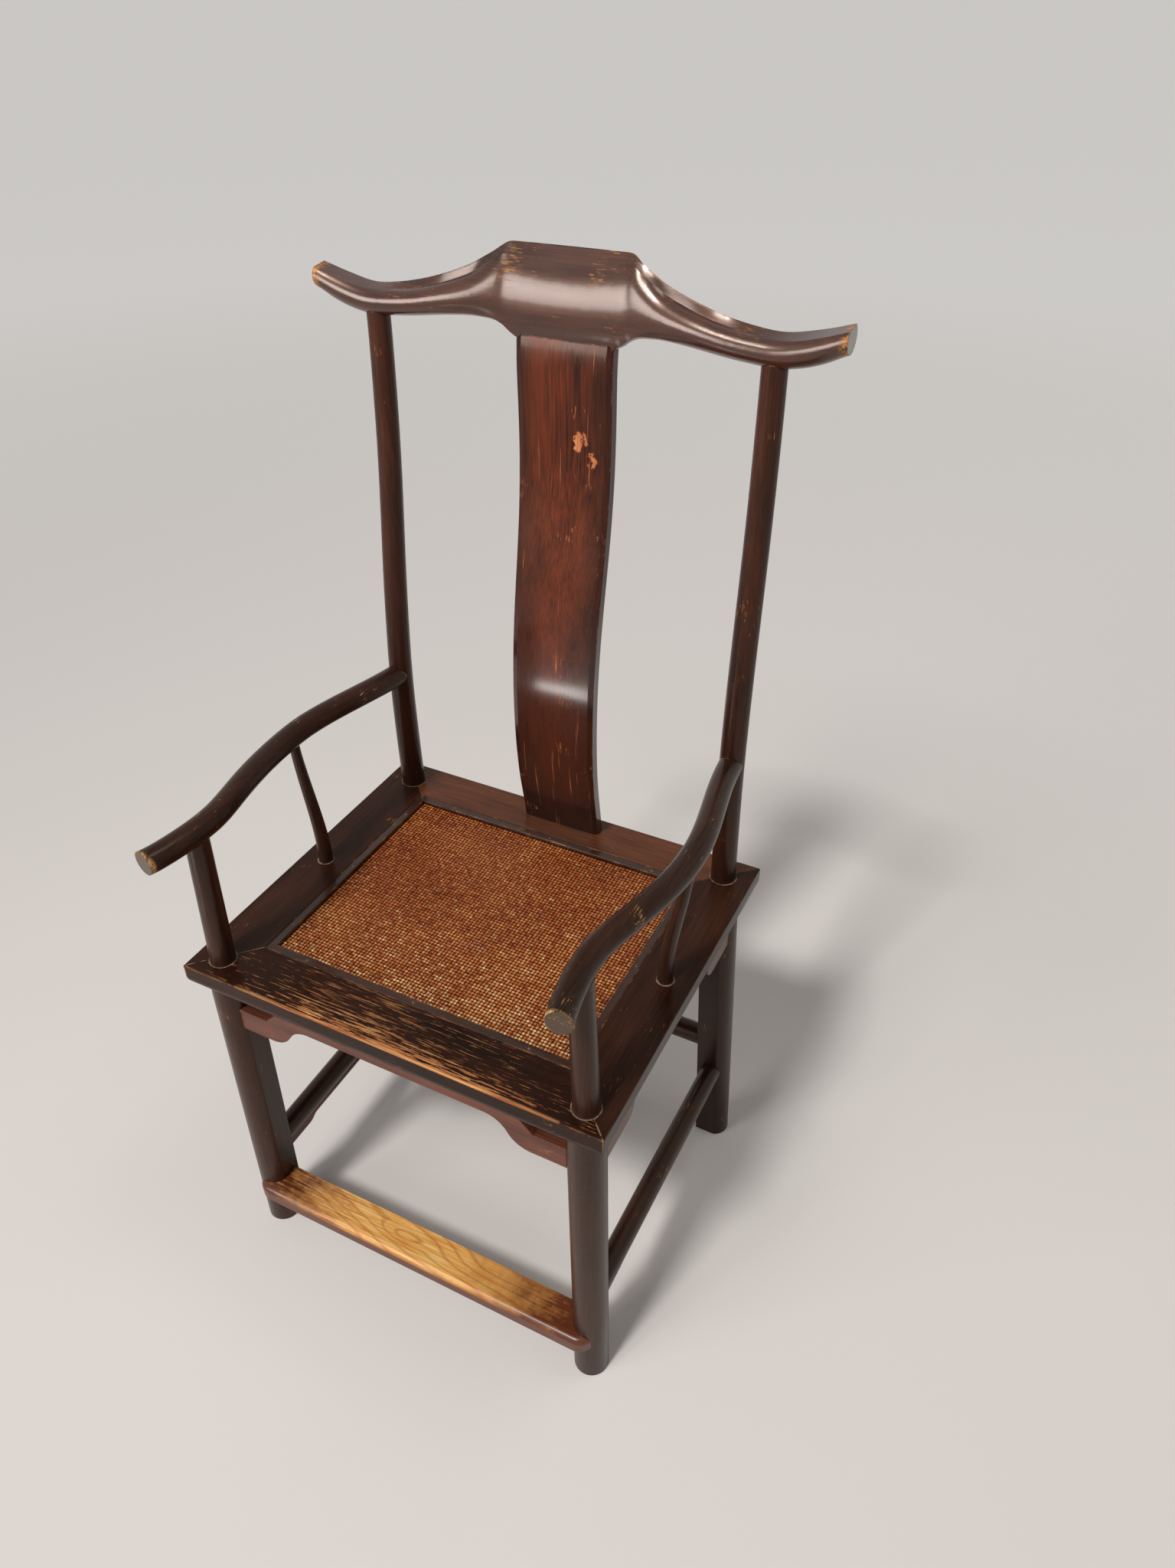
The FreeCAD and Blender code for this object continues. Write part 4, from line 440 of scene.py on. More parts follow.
def sitters_wear_and_edge_highlight(tree, place):
    """Wood in fine streaks on the front rail, red by the mat; gold edge of wear and painted
    highlight.
    """
    x, y, z = (add(tree, "SeparateXYZ", {"Vector": place}, out=axis) for axis in "XYZ")
    front = add(tree, "MapRange", {"Value": y, "From Min": RUBBED_DEPTH[0],
                                   "From Max": RUBBED_DEPTH[1]})
    near_front = add(tree, "Math", {0: front, 1: 2}, operation="POWER")
    left_end, right_end, patch_left, patch_right = (
        add(tree, "MapRange", {"Value": x, "From Min": nothing, "From Max": full})
        for nothing, full in (RUBBED_LEFT, RUBBED_RIGHT, PATCH_LEFT, PATCH_RIGHT))
    sat_on = add(tree, "Math", {0: left_end, 1: right_end}, operation="MULTIPLY")
    patch = add(tree, "Math", {0: patch_left, 1: patch_right}, operation="MULTIPLY")
    at_front = add(tree, "Math", {0: near_front, 1: sat_on}, operation="MULTIPLY")
    amount = add(tree, "Math", {0: at_front, 1: MORE_AT_FRONT}, operation="MULTIPLY")
    more = add(tree, "Math", {0: patch, 1: MORE_IN_PATCH}, operation="MULTIPLY")
    amount = add(tree, "Math", {0: amount, 1: more}, operation="ADD")
    streak = add(tree, "Math", {0: streaks(tree, place, STREAK_SIZES, 4, 0.68), 1: amount},
                 operation="ADD")
    streak = add(tree, "MapRange", {"Value": streak, "From Min": 0.6, "From Max": 0.64})
    depth = add(tree, "MapRange", {"Value": front, "From Min": 0.3, "To Min": 0.4,
                                   "To Max": 0.95})
    streak = add(tree, "Math", {0: streak, 1: depth}, operation="MULTIPLY")
    # The front edge: worn to gold, and a painted highlight along the rounded brink.
    brink_wear_and_highlight = add(tree, "MapRange", {"Value": y, "From Min": BRINK_WEAR_AND_HIGHLIGHT[0], "From Max": BRINK_WEAR_AND_HIGHLIGHT[1]})
    along = add(tree, "Math", {0: sat_on, 1: BRINK_FULLNESS}, operation="POWER")
    brink_wear_and_highlight = add(tree, "Math", {0: brink_wear_and_highlight, 1: along}, operation="MULTIPLY")
    streak = add(tree, "Math", {0: streak, 1: brink_wear_and_highlight}, operation="MAXIMUM")
    top = add(tree, "MapRange", {"Value": z, "From Min": RAIL_TOP[0], "From Max": RAIL_TOP[1]})
    return add(tree, "Math", {0: streak, 1: top}, operation="MULTIPLY")


# %% Lacquer on the seat frame and the strips
FRONT_FILM, FRONT_WOOD = ("#150A06", "#33190F"), ("#944626", "#E4A86C")
# lighter than the side rails' film: a painted reflection
BACK_FILM_WITH_REFLECTION = ("#32190E", "#704028")
FRAME_FILM = ("#1C0D08", "#3E2317")
RAIL_SHINE = 0.12
STRIP_WOOD_AND_HIGHLIGHT = ("#6A4630", "#A07C58")
# a wide edge, so that the pale worn edge also stands as a painted highlight along the bead
STRIP_ROUND = 0.004

# Black lacquer rubbed through by legs: gold and red-brown wood in streaks
dress(lacquer("rubbed_lacquer_on_front_rail", "x", FRONT_FILM, 0.9, sitters_wear_and_edge_highlight, frame_dust_and_highlights,
              shine=RAIL_SHINE, wood=FRONT_WOOD), "front_rail")
# Lacquer behind the sitter, hardly touched, painted lighter and warmer than the side rails: a
# painted reflection of the pale world above and behind it
dress(lacquer("old_lacquer_on_back_rail", "x", BACK_FILM_WITH_REFLECTION, 0.5, dust_and_highlight=frame_dust_and_highlights), "back_rail")
# Narrow strips, rounded like a bead by rubbing: a dark line that glints, with pale chips. Their
# wide pale edges are worn wood and partly a painted highlight along the bead
for name, grain, ends in (("old_lacquer_on_wide_strips", "x", ("front", "back")),
                          ("old_lacquer_on_deep_strips", "y", ("left", "right"))):
    dress(lacquer(name, grain, FRAME_FILM, 0.6, gloss=0.24, shine=0.45, coat=0.4,
                  wood=STRIP_WOOD_AND_HIGHLIGHT, edge_radius=STRIP_ROUND),
          *("seat_strip_" + end for end in ends))
# Lacquer under the arms, seldom touched: black-brown and rather dull
dress(lacquer("old_lacquer_on_side_rails", "y", FRAME_FILM, 0.6, dust_and_highlight=frame_dust_and_highlights,
              shine=RAIL_SHINE), "side_rail_left", "side_rail_right")

# %% [markdown]
# ## The splat
# The back board has a thinner, redder lacquer that darkens towards its sides and its foot, and
# backs have polished its lower half. Rubbing shirts have drawn pale scratches down it, and one
# scraped patch shows orange wood near its top. The patch is three blobs whose outline is bent by
# a noise, so it looks torn. A painted mask would look the same, but couldn't be moved by numbers.

# %% Scratches of the splat
SCRATCH_SIZES, SCRATCH_AREA_SIZE = (2.6, 120, 120), 70
TORN_SIZE, TORN_REACH = 14, 0.03
SCRAPED = (((0.017, 0.23, 1.03), 0.0085), ((0.027, 0.23, 1.034), 0.004),
           ((0.036, 0.23, 1.014), 0.0055))
SCRAPED_SHAPE = (1.4, 0, 0.6)


def torn_outline(tree, place):
    """The point's place, shifted here and there, so that what is drawn by it looks torn."""
    wobble = add(tree, "TexNoise", {"Vector": place, "Scale": mm(TORN_SIZE)[0], "Detail": 4,
                                    "Roughness": 0.7}, out="Color")
    wobble = add(tree, "VectorMath", {0: wobble, 1: (0.5, 0.5, 0.5)}, operation="SUBTRACT")
    wobble = add(tree, "VectorMath", {0: wobble, "Scale": TORN_REACH}, operation="SCALE")
    return add(tree, "VectorMath", {0: place, 1: wobble}, operation="ADD")


def scratches(tree, place):
    """Fine pale scratches that run up the board's front, and the scraped patch."""
    drawn = streaks(tree, place, SCRATCH_SIZES, 2, 0.5)
    drawn = add(tree, "MapRange", {"Value": drawn, "From Min": 0.66, "From Max": 0.72,
                                   "To Max": 0.7})
    area = add(tree, "TexNoise", {"Vector": place, "Scale": mm(SCRATCH_AREA_SIZE)[0],
                                  "Detail": 2})
    area = add(tree, "MapRange", {"Value": area, "From Min": 0.43, "From Max": 0.56})
    found = add(tree, "Math", {0: drawn, 1: area}, operation="MULTIPLY")
    torn = torn_outline(tree, place)
    for centre, size in SCRAPED:
        off = add(tree, "VectorMath", {0: torn, 1: centre}, operation="SUBTRACT")
        off = add(tree, "VectorMath", {0: off, 1: SCRAPED_SHAPE}, operation="MULTIPLY")
        off = add(tree, "VectorMath", {0: off}, out="Value", operation="LENGTH")
        scrape = add(tree, "MapRange", {"Value": off, "From Min": size, "From Max": size * 0.8})
        found = add(tree, "Math", {0: found, 1: scrape}, operation="MAXIMUM")
    facing = add(tree, "NewGeometry", out="Normal")
    facing = add(tree, "SeparateXYZ", {"Vector": facing}, out="Y")
    on_front = add(tree, "MapRange", {"Value": facing, "From Min": -0.2, "From Max": -0.5})
    return add(tree, "Math", {0: found, 1: on_front}, operation="MULTIPLY")


# %% Lacquer on the splat
SPLAT_FILM, SPLAT_WOOD = ("#1E0A06", "#7A3010"), ("#9C5230", "#CE8556")
SPLAT_DARK_BELOW, SPLAT_DARK_BESIDE = (0.5, 0.95), (0.012, 0.06)
SPLAT_POLISHED_BELOW = (0.74, 0.86)

# Thin lacquer polished by backs: a red glow in the middle, a bright band near the foot
dress(lacquer("thin_red_lacquer_on_splat", "z", SPLAT_FILM, 0.55, scratches, gloss=0.24, coat=1,
              wood=SPLAT_WOOD, dark_below=SPLAT_DARK_BELOW, dark_beside=SPLAT_DARK_BESIDE,
              polished_below=SPLAT_POLISHED_BELOW), "splat")

# %% [markdown]
# ## The crest rail
# Heads and hands have polished the crest rail most, so it is the glossiest piece, and its upper
# edge and its ends have lost their lacquer. A short fine pattern is raised near a few places and
# cut off at a level, so gold shows there in short streaks. An even mask would look like paint.

# %% Wear of the crest rail
CREST_RUBBED = (((0.075, 0.252, 1.215), 0.03), ((-0.065, 0.252, 1.217), 0.026),
                ((0.2, 0.235, 1.167), 0.05), ((-0.2, 0.235, 1.165), 0.045),
                ((0.3, 0.222, 1.19), 0.03), ((-0.3, 0.222, 1.185), 0.04))
CREST_STREAK_SIZES = (14, 1.6, 1.6)
CREST_RIM = (0.297, 0.302)


def crest_wear(tree, place):
    """Gold wear in short streaks: the headrest's upper corners and the low points of both wings."""
    found = None
    for centre, size in CREST_RUBBED:
        off = add(tree, "VectorMath", {0: place, 1: centre}, out="Value", operation="DISTANCE")
        spot = add(tree, "MapRange", {"Value": off, "From Min": size, "From Max": size * 0.2,
                                      "To Max": 0.1})
        found = spot if found is None else add(tree, "Math", {0: found, 1: spot},
                                               operation="MAXIMUM")
    short = streaks(tree, place, CREST_STREAK_SIZES, 5, 0.7)
    found = add(tree, "Math", {0: found, 1: short}, operation="ADD")
    found = add(tree, "MapRange", {"Value": found, "From Min": 0.68, "From Max": 0.76})
    ends = worn_tips("X", *CREST_RIM)(tree, place)
    return add(tree, "Math", {0: found, 1: ends}, operation="MAXIMUM")


# %% Lacquer on the crest rail
CREST_FILM = ("#200D08", "#4E2418")

# Lacquer polished by heads and hands: dark, with broad clear highlights along its curves
dress(lacquer("polished_lacquer_on_crest_rail", "x", CREST_FILM, 0.7, crest_wear, gloss=0.27,
              shine=0.6, coat=0.8), "crest_rail")

# %% [markdown]
# ## The footrest
# Feet have rubbed the lacquer off the footrest, so amber wood shows between its dark ends. The
# lacquer's limit follows the distance from the ends, made ragged by a noise along the grain.
# The board was sawn along a log, so its growth rings run as long bent lines, and close round
# one knot. A sine of a slanting distance gives the rings, and a bump in that distance the knot,
# which a picture of wood would give too, but not at the right place and size.

# %% How far the footrest is worn
FOOT_BLOTCH_SIZE, FOOT_RAGGED = 26, 0.16
FOOT_LEFT_DARK, FOOT_RIGHT_DARK = (-0.225, -0.09), (0.2, 0.06)
FOOT_TOP = (0.081, 0.0875)


def footrest_wear(tree, place, fibre):
    """1 where feet have rubbed the board bare, 0 at its ends and below its top."""
    x, z = (add(tree, "SeparateXYZ", {"Vector": place}, out=axis) for axis in "XZ")
    blotch = add(tree, "TexNoise", {"Vector": place, "Scale": mm(FOOT_BLOTCH_SIZE)[0],
                                    "Detail": 4, "Roughness": 0.65})
    ragged = add(tree, "Math", {0: fibre, 1: blotch}, operation="ADD")
    ragged = add(tree, "MapRange", {"Value": ragged, "From Max": 2, "To Min": -FOOT_RAGGED,
                                    "To Max": FOOT_RAGGED})
    along = add(tree, "Math", {0: x, 1: ragged}, operation="ADD")
    left_worn, right_worn = (
        add(tree, "MapRange", {"Value": along, "From Min": dark, "From Max": bare})
        for dark, bare in (FOOT_LEFT_DARK, FOOT_RIGHT_DARK))
    worn = add(tree, "Math", {0: left_worn, 1: right_worn}, operation="MULTIPLY")
    top = add(tree, "MapRange", {"Value": z, "From Min": FOOT_TOP[0], "From Max": FOOT_TOP[1]})
    return add(tree, "Math", {0: worn, 1: top}, operation="MULTIPLY")


# %% Growth rings of the footrest
RING_BEND_SIZES, RING_BEND = (240, 60, 60), 0.09
RING_SLANT, RING_SPACING = 0.22, 0.015
RING_DARKNESS = 0.42
KNOT_PLACE, KNOT_SHAPE = (-0.03, -0.204, 0.09), (0.3, 1, 0)
KNOT_RADIUS, KNOT_RISE = 0.016, 0.022


def growth_rings(tree, place):
    """Thin dark lines, bent and slanting, that close round one knot."""
    x, y = (add(tree, "SeparateXYZ", {"Vector": place}, out=axis) for axis in "XY")
    slant = add(tree, "Math", {0: x, 1: RING_SLANT}, operation="MULTIPLY")
    slant = add(tree, "Math", {0: slant, 1: y}, operation="ADD")
    bend = streaks(tree, place, RING_BEND_SIZES, 1, 0.4)
    rings = add(tree, "Math", {0: bend, 1: RING_BEND}, operation="MULTIPLY")
    rings = add(tree, "Math", {0: rings, 1: slant}, operation="ADD")
    off = add(tree, "VectorMath", {0: place, 1: KNOT_PLACE}, operation="SUBTRACT")
    off = add(tree, "VectorMath", {0: off, 1: KNOT_SHAPE}, operation="MULTIPLY")
    off = add(tree, "VectorMath", {0: off}, out="Value", operation="LENGTH")
    knot = add(tree, "MapRange", {"Value": off, "From Min": KNOT_RADIUS, "From Max": 0,
                                  "To Max": KNOT_RISE}, interpolation_type="SMOOTHSTEP")
    rings = add(tree, "Math", {0: rings, 1: knot}, operation="ADD")
    rings = add(tree, "Math", {0: rings, 1: 2 * math.pi / RING_SPACING}, operation="MULTIPLY")
    rings = add(tree, "Math", {0: rings}, operation="SINE")
    return add(tree, "MapRange", {"Value": rings, "From Min": 0.5, "From Max": 1,
                                  "To Max": RING_DARKNESS})


# %% Worn footrest
FOOT_FIBRE_SIZES = (60, 3, 3)  # coarser than real pores, as on the lacquered pieces
AMBER, RING_BROWN = [(0.3, "#CC8040"), (0.5, "#EAAE5C"), (0.72, "#FAD694")], "#98501E"
FOOT_FILM, HALF_WORN = ("#32170D", "#7C4026"), "#A35C2C"


def bare_footrest():
    """Hardwood with its lacquer rubbed off by feet: amber with brown rings, smooth and dry."""
    material, tree, shader, place = finish_called("footrest_worn_to_amber_wood")
    fibre = streaks(tree, place, FOOT_FIBRE_SIZES, 5, 0.6)
    worn = footrest_wear(tree, place, fibre)
    amber = add(tree, "ValToRGB", {0: fibre}, stops=AMBER)
    amber = add(tree, "Mix", {0: growth_rings(tree, place), 6: amber, 7: RING_BROWN}, out=2,
                data_type="RGBA")
    dark = add(tree, "Mix", {0: fibre, 6: FOOT_FILM[0], 7: FOOT_FILM[1]}, out=2,
               data_type="RGBA")
    halfway = add(tree, "Mix", {0: worn, 6: dark, 7: HALF_WORN}, out=2, data_type="RGBA")
    colour = add(tree, "Mix", {0: worn, 6: halfway, 7: amber}, out=2, data_type="RGBA")
    tree.links.new(colour, shader.inputs["Base Color"])
    shader.inputs["Roughness"].default_value = 0.3
    relief = add(tree, "Bump", {"Height": fibre, "Strength": 0.12, "Distance": GRAIN_DEPTH})
    tree.links.new(relief, shader.inputs["Normal"])
    return material


dress(bare_footrest(), "footrest")

# %% [markdown]
# ## Braces and pegs
# Under the mat two curved braces hold the frame together, and small pegs hold the strips. A
# joiner leaves them without lacquer. The lacquer's function serves for them too, with a matt
# sheen and the colours of plain wood, because its grain is what bare wood shows.

# %% Bare wood of the braces and pegs
PLAIN_WOOD = ("#6A4A30", "#8A6644")

# Planed hardwood without lacquer: light brown and matt
dress(lacquer("bare_hardwood", "y", PLAIN_WOOD, gloss=0.6),
      "seat_brace_left", "seat_brace_right", "strip_pegs")

# %% [markdown]
# ## The woven seat
# A soft seat has two layers: a web of palm-fibre cord, and on it a fine mat of cane strands. Both
# are held at the edges by the strips, and the middle has sunk a little. A relief in the shader
# would look flat from the side, so the mat is really woven here: a tile of two strands each way
# is shaped once, each strand passing over one and under the next, and two Array modifiers repeat
# it over the opening. The sag is a smooth hollow that both layers share.

# %% The opening and its sag
low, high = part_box("seat_mat")
CLEAR = 0.0004
left, right = low.x + CLEAR, high.x - CLEAR
front, back = low.y + CLEAR, high.y - CLEAR
SAG, SAG_FULLNESS = 0.004, 0.7
middle_x, middle_y = (left + right) / 2, (front + back) / 2


def sag(x, y):
    """How far the seat has sunk at a point, nothing at its edges."""
    across = math.cos(math.pi * (x - middle_x) / (right - left))
    along = math.cos(math.pi * (y - middle_y) / (back - front))
    return SAG * (max(across, 0) * max(along, 0)) ** SAG_FULLNESS


def sink(piece):
    """Lowers each corner of a piece by the sag at its place."""
    for corner in piece.data.vertices:
        corner.co.z -= sag(corner.co.x, corner.co.y)


def settle(piece):
    """Puts a piece's place into its mesh, so its object sits at the origin."""
    bpy.ops.object.select_all(action="DESELECT")
    piece.select_set(True)
    bpy.context.view_layer.objects.active = piece
    bpy.ops.object.transform_apply(location=True, rotation=True, scale=True)


print("mat opening", round(right - left, 4), "x", round(back - front, 4))

# %% [markdown]
# ### The web underneath
# The web is a net of cord, but it shows only as something dark between the strands. So it is
# one closed sheet: a flat grid that is sunk by the sag and gets its thickness from a Solidify
# modifier. It is also what the frame and the braces carry.

# %% The web underneath
WEB_ACROSS, WEB_ALONG = 52, 42
WEB_LIFT, WEB_THICKNESS = 0.001, 0.0008
bpy.ops.object.select_all(action="DESELECT")
bpy.ops.mesh.primitive_grid_add(x_subdivisions=WEB_ACROSS, y_subdivisions=WEB_ALONG, size=1,
                                location=(middle_x, middle_y, low.z + WEB_LIFT))
web = bpy.context.object
web.name = "seat_mat_web"
web.scale = (right - left, back - front, 1)
settle(web)
sink(web)
thick = web.modifiers.new("Thickness", "SOLIDIFY")
thick.thickness, thick.offset = WEB_THICKNESS, -1
bpy.ops.object.modifier_apply(modifier=thick.name)
bpy.ops.object.shade_smooth()
print("web", len(web.data.polygons), "faces")

# %% [markdown]
# ### One tile of the weave
# Each strand of the tile is a small grid, two cells of the weave long. A cosine lifts and lowers
# it along its length, and its neighbour does the opposite, so they pass over and under each
# other. The middle line of a strand stands a little higher, as the round side of cane does.

# %% Sizes of the weave
PITCH = 0.0046  # the real strands lie about 3.8 mm apart, drawn coarser here so that they show
STRAND_SHARE, WAVE, CROWN, UNDER_STRIPS = 0.74, 0.0005, 0.0001, 0.0003
across_count = round((right - left) / (2 * PITCH))
along_count = round((back - front) / (2 * PITCH))
step_x, step_y = (right - left) / (2 * across_count), (back - front) / (2 * along_count)
weave_level = high.z - WAVE - CROWN - UNDER_STRIPS
print("tiles", across_count, "x", along_count)


# %% One tile
def strand_of(row, crossing):
    """One strand of the tile, in its row. It runs along X, or along Y if it is a crossing one."""
    bpy.ops.object.select_all(action="DESELECT")
    bpy.ops.mesh.primitive_grid_add(x_subdivisions=4, y_subdivisions=2, size=1)
    strand = bpy.context.object
    length, width = (2 * step_y, step_x) if crossing else (2 * step_x, step_y)
    for corner in strand.data.vertices:
        along, aside = corner.co.x + 0.5, corner.co.y * STRAND_SHARE
        over = math.cos(2 * math.pi * along + math.pi * (row + crossing))
        corner.co.x, corner.co.y = along * length, (row + 0.5) * width + aside * width
        corner.co.z = WAVE * over + (CROWN if abs(aside) < 0.1 else 0)
        if crossing:
            corner.co.x, corner.co.y = corner.co.y, corner.co.x
    if crossing:
        strand.data.flip_normals()
    strand.location = (left + (0 if crossing else -0.5 * step_x),
                       front + (-0.5 * step_y if crossing else 0), weave_level)
    return strand


strands = [strand_of(row, crossing) for crossing in (0, 1) for row in (0, 1)]
bpy.ops.object.select_all(action="DESELECT")
for strand in strands:
    strand.select_set(True)
bpy.context.view_layer.objects.active = strands[0]
bpy.ops.object.join()
weave = bpy.context.object
weave.name = "seat_mat_weave"
settle(weave)
print("tile", [round(v, 5) for v in weave.dimensions])

# %% [markdown]
# The tile is repeated across and along the opening. What sticks out at the ends is pressed back
# to the opening's edge, where the strips hide it. Each corner keeps how high it stood, in an
# attribute called crown, before the whole mat sinks, because the cane's painted shade reads it.

# %% Repeat the tile
MERGE_WITHIN = 0.00005
for name, count, offset in (("Across", across_count, (2 * step_x, 0, 0)),
                            ("Along", along_count, (0, 2 * step_y, 0))):
    rows = weave.modifiers.new(name, "ARRAY")
    rows.count, rows.use_relative_offset, rows.use_constant_offset = count, False, True
    rows.constant_offset_displace = offset
    rows.use_merge_vertices, rows.merge_threshold = True, MERGE_WITHIN
    bpy.ops.object.modifier_apply(modifier=rows.name)
crown = weave.data.attributes.new("crown", "FLOAT", "POINT")
for corner in weave.data.vertices:
    crown.data[corner.index].value = (corner.co.z - weave_level + WAVE) / (2 * WAVE + CROWN)
    corner.co.x = min(max(corner.co.x, left), right)
    corner.co.y = min(max(corner.co.y, front), back)
sink(weave)
bpy.ops.object.shade_smooth()
print("weave", len(weave.data.polygons), "faces, cells of", round(step_x * 1000, 2), "x",
      round(step_y * 1000, 2), "mm")

# %% [markdown]
# ### Cane and palm fibre
# Cane is the glossy skin of rattan, split into strands. It has turned from straw to orange-brown,
# and where sitters slide it is polished to small pale glints. Real glints come and go as one
# moves the head, but a woven mesh this fine can't mirror them, so they are part of the colour.
# Where they dip under, the strands are painted dark, as painted shade, by the attribute crown.

# %% Cane strands
CANE_FLECK_SIZE, CANE_PATCH_SIZE, GLINT_SIZES = 6, 90, (9, 5, 5)
MORE_TO_FRONT, MORE_TO_RIGHT, MORE_GLINTS = (0.12, -0.155), (-0.2, 0.2), 0.12
# CANE_GLINT is the colour of a painted highlight on the strands
CANE_TOP, CANE_GLINT = [(0, "#7A3218"), (0.5, "#B6622E"), (1, "#E69C58")], "#FFD090"
# painted shade: the strands' colours where they dip under the crossing ones
CANE_DIP_SHADE = ("#1C0702", "#4E1E0A")


def glints(tree, place):
    """Painted glints where the strands' polished skin catches light, more to the front and the
    right.
    """
    x, y = (add(tree, "SeparateXYZ", {"Vector": place}, out=axis) for axis in "XY")
    to_front = add(tree, "MapRange", {"Value": y, "From Min": MORE_TO_FRONT[0],
                                      "From Max": MORE_TO_FRONT[1]})
    to_front = add(tree, "Math", {0: to_front, 1: 2}, operation="POWER")
    to_right = add(tree, "MapRange", {"Value": x, "From Min": MORE_TO_RIGHT[0],
                                      "From Max": MORE_TO_RIGHT[1], "To Max": 0.4})
    share = add(tree, "Math", {0: to_front, 1: to_right}, operation="ADD")
    share = add(tree, "Math", {0: share, 1: MORE_GLINTS}, operation="MULTIPLY")
    glint = add(tree, "Math", {0: streaks(tree, place, GLINT_SIZES, 3, 0.7), 1: share},
                operation="ADD")
    return add(tree, "MapRange", {"Value": glint, "From Min": 0.62, "From Max": 0.78})


def cane():
    """Woven split cane polished by use: orange-brown, painted shade in the dips, painted glints."""
    material, tree, shader, place = finish_called("polished_cane_strands")
    fleck = add(tree, "TexNoise", {"Vector": place, "Scale": mm(CANE_FLECK_SIZE)[0],
                                   "Detail": 3, "Roughness": 0.75})
    patch = add(tree, "TexNoise", {"Vector": place, "Scale": mm(CANE_PATCH_SIZE)[0],
                                   "Detail": 2, "Roughness": 0.5})
    patch = add(tree, "Math", {0: patch, 1: 0.35}, operation="MULTIPLY")
    tone = add(tree, "Math", {0: fleck, 1: patch}, operation="ADD")
    tone = add(tree, "MapRange", {"Value": tone, "From Min": 0.5, "From Max": 0.88})
    top = add(tree, "ValToRGB", {0: tone}, stops=CANE_TOP)
    top = add(tree, "Mix", {0: glints(tree, place), 6: top, 7: CANE_GLINT}, out=2,
              data_type="RGBA")
    # Painted shade: a strand's colour goes dark where it dips under the crossing one.
    dip_shade = add(tree, "Mix", {0: tone, 6: CANE_DIP_SHADE[0], 7: CANE_DIP_SHADE[1]}, out=2, data_type="RGBA")
    height = add(tree, "Attribute", out="Fac", attribute_name="crown")
    height = add(tree, "MapRange", {"Value": height, "From Min": 0.5, "From Max": 0.85})
    colour = add(tree, "Mix", {0: height, 6: dip_shade, 7: top}, out=2, data_type="RGBA")
    tree.links.new(colour, shader.inputs["Base Color"])
    shader.inputs["Roughness"].default_value = 0.36
    shader.inputs["Specular IOR Level"].default_value = 0.2
    return material


weave.data.materials.append(cane())
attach(weave, "root")
print("cane strands on", weave.name)

# %% Palm web
FIBRE_SIZE = 2  # real fibres are finer than half a millimetre, drawn coarser to show
FIBRE_BROWN = ("#1C0E08", "#3A2012")

# Twisted palm fibre, seen only through the gaps of the cane: dark, rough and matt
web_material, tree, shader, place = finish_called("palm_fibre_web")
fibres = add(tree, "TexNoise", {"Vector": place, "Scale": mm(FIBRE_SIZE)[0], "Detail": 3})
fibres = add(tree, "Mix", {0: fibres, 6: FIBRE_BROWN[0], 7: FIBRE_BROWN[1]}, out=2,
             data_type="RGBA")
tree.links.new(fibres, shader.inputs["Base Color"])
shader.inputs["Roughness"].default_value = 0.8
web.data.materials.append(web_material)
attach(web, "root")
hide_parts("seat_mat")
print("palm fibre on", web.name)

# %% [markdown]
# ## Floor and light
# The floor is plain and pale. A dim world lights the chair, so that the lacquer stays deep, but
# a dim world would also be a dark background. Light Path tells which kind of ray asks for a
# colour: rays that look for the background see a paler world. They see the floor's far part
# paler too, so that it meets the world without a dark line. Others, which carry light, don't.

# %% Floor
FLOOR_SIZE = 400
FLOOR_PALER = (1.2, 6)
FLOOR_COLOUR, FLOOR_FAR_COLOUR = "#E6E2DF", "#FFFEFD"


def background_rays(tree):
    """1 for the rays that look for the background: from the camera, mirrored or through glass."""
    rays = add(tree, "LightPath").node.outputs
    seen = add(tree, "Math", {0: rays["Is Camera Ray"], 1: rays["Is Glossy Ray"]},
               operation="MAXIMUM")
    return add(tree, "Math", {0: seen, 1: rays["Is Transmission Ray"]}, operation="MAXIMUM")


bpy.ops.object.select_all(action="DESELECT")
bpy.ops.mesh.primitive_plane_add(size=FLOOR_SIZE)
floor = bpy.context.object
floor.name = "floor"
# Matt pale board: it keeps the chair's shadow and mirrors almost nothing
floor_material, tree, shader, place = finish_called("pale_floor")
away = add(tree, "VectorMath", {0: place}, out="Value", operation="LENGTH")
away = add(tree, "MapRange", {"Value": away, "From Min": FLOOR_PALER[0],
                              "From Max": FLOOR_PALER[1]})
away = add(tree, "Math", {0: away, 1: background_rays(tree)}, operation="MULTIPLY")
paler = add(tree, "Mix", {0: away, 6: FLOOR_COLOUR, 7: FLOOR_FAR_COLOUR}, out=2,
            data_type="RGBA")
tree.links.new(paler, shader.inputs["Base Color"])
shader.inputs["Roughness"].default_value = 0.9
shader.inputs["Specular IOR Level"].default_value = 0.2
floor.data.materials.append(floor_material)
print("floor", FLOOR_SIZE, "m wide")

# %% World
WORLD_ON_CHAIR, WORLD_SEEN, WORLD_COLOUR = 0.22, 0.62, "#F2F0EE"
world = bpy.data.worlds.new("studio")
bpy.context.scene.world = world
world.use_nodes = True
tree = world.node_tree
tree.nodes.clear()
strength = add(tree, "MapRange", {"Value": background_rays(tree), "To Min": WORLD_ON_CHAIR,
                                  "To Max": WORLD_SEEN})
sky = add(tree, "Background", {"Color": WORLD_COLOUR, "Strength": strength})
add(tree, "OutputWorld", {"Surface": sky})
print("world", WORLD_ON_CHAIR, "on the chair,", WORLD_SEEN, "behind it")

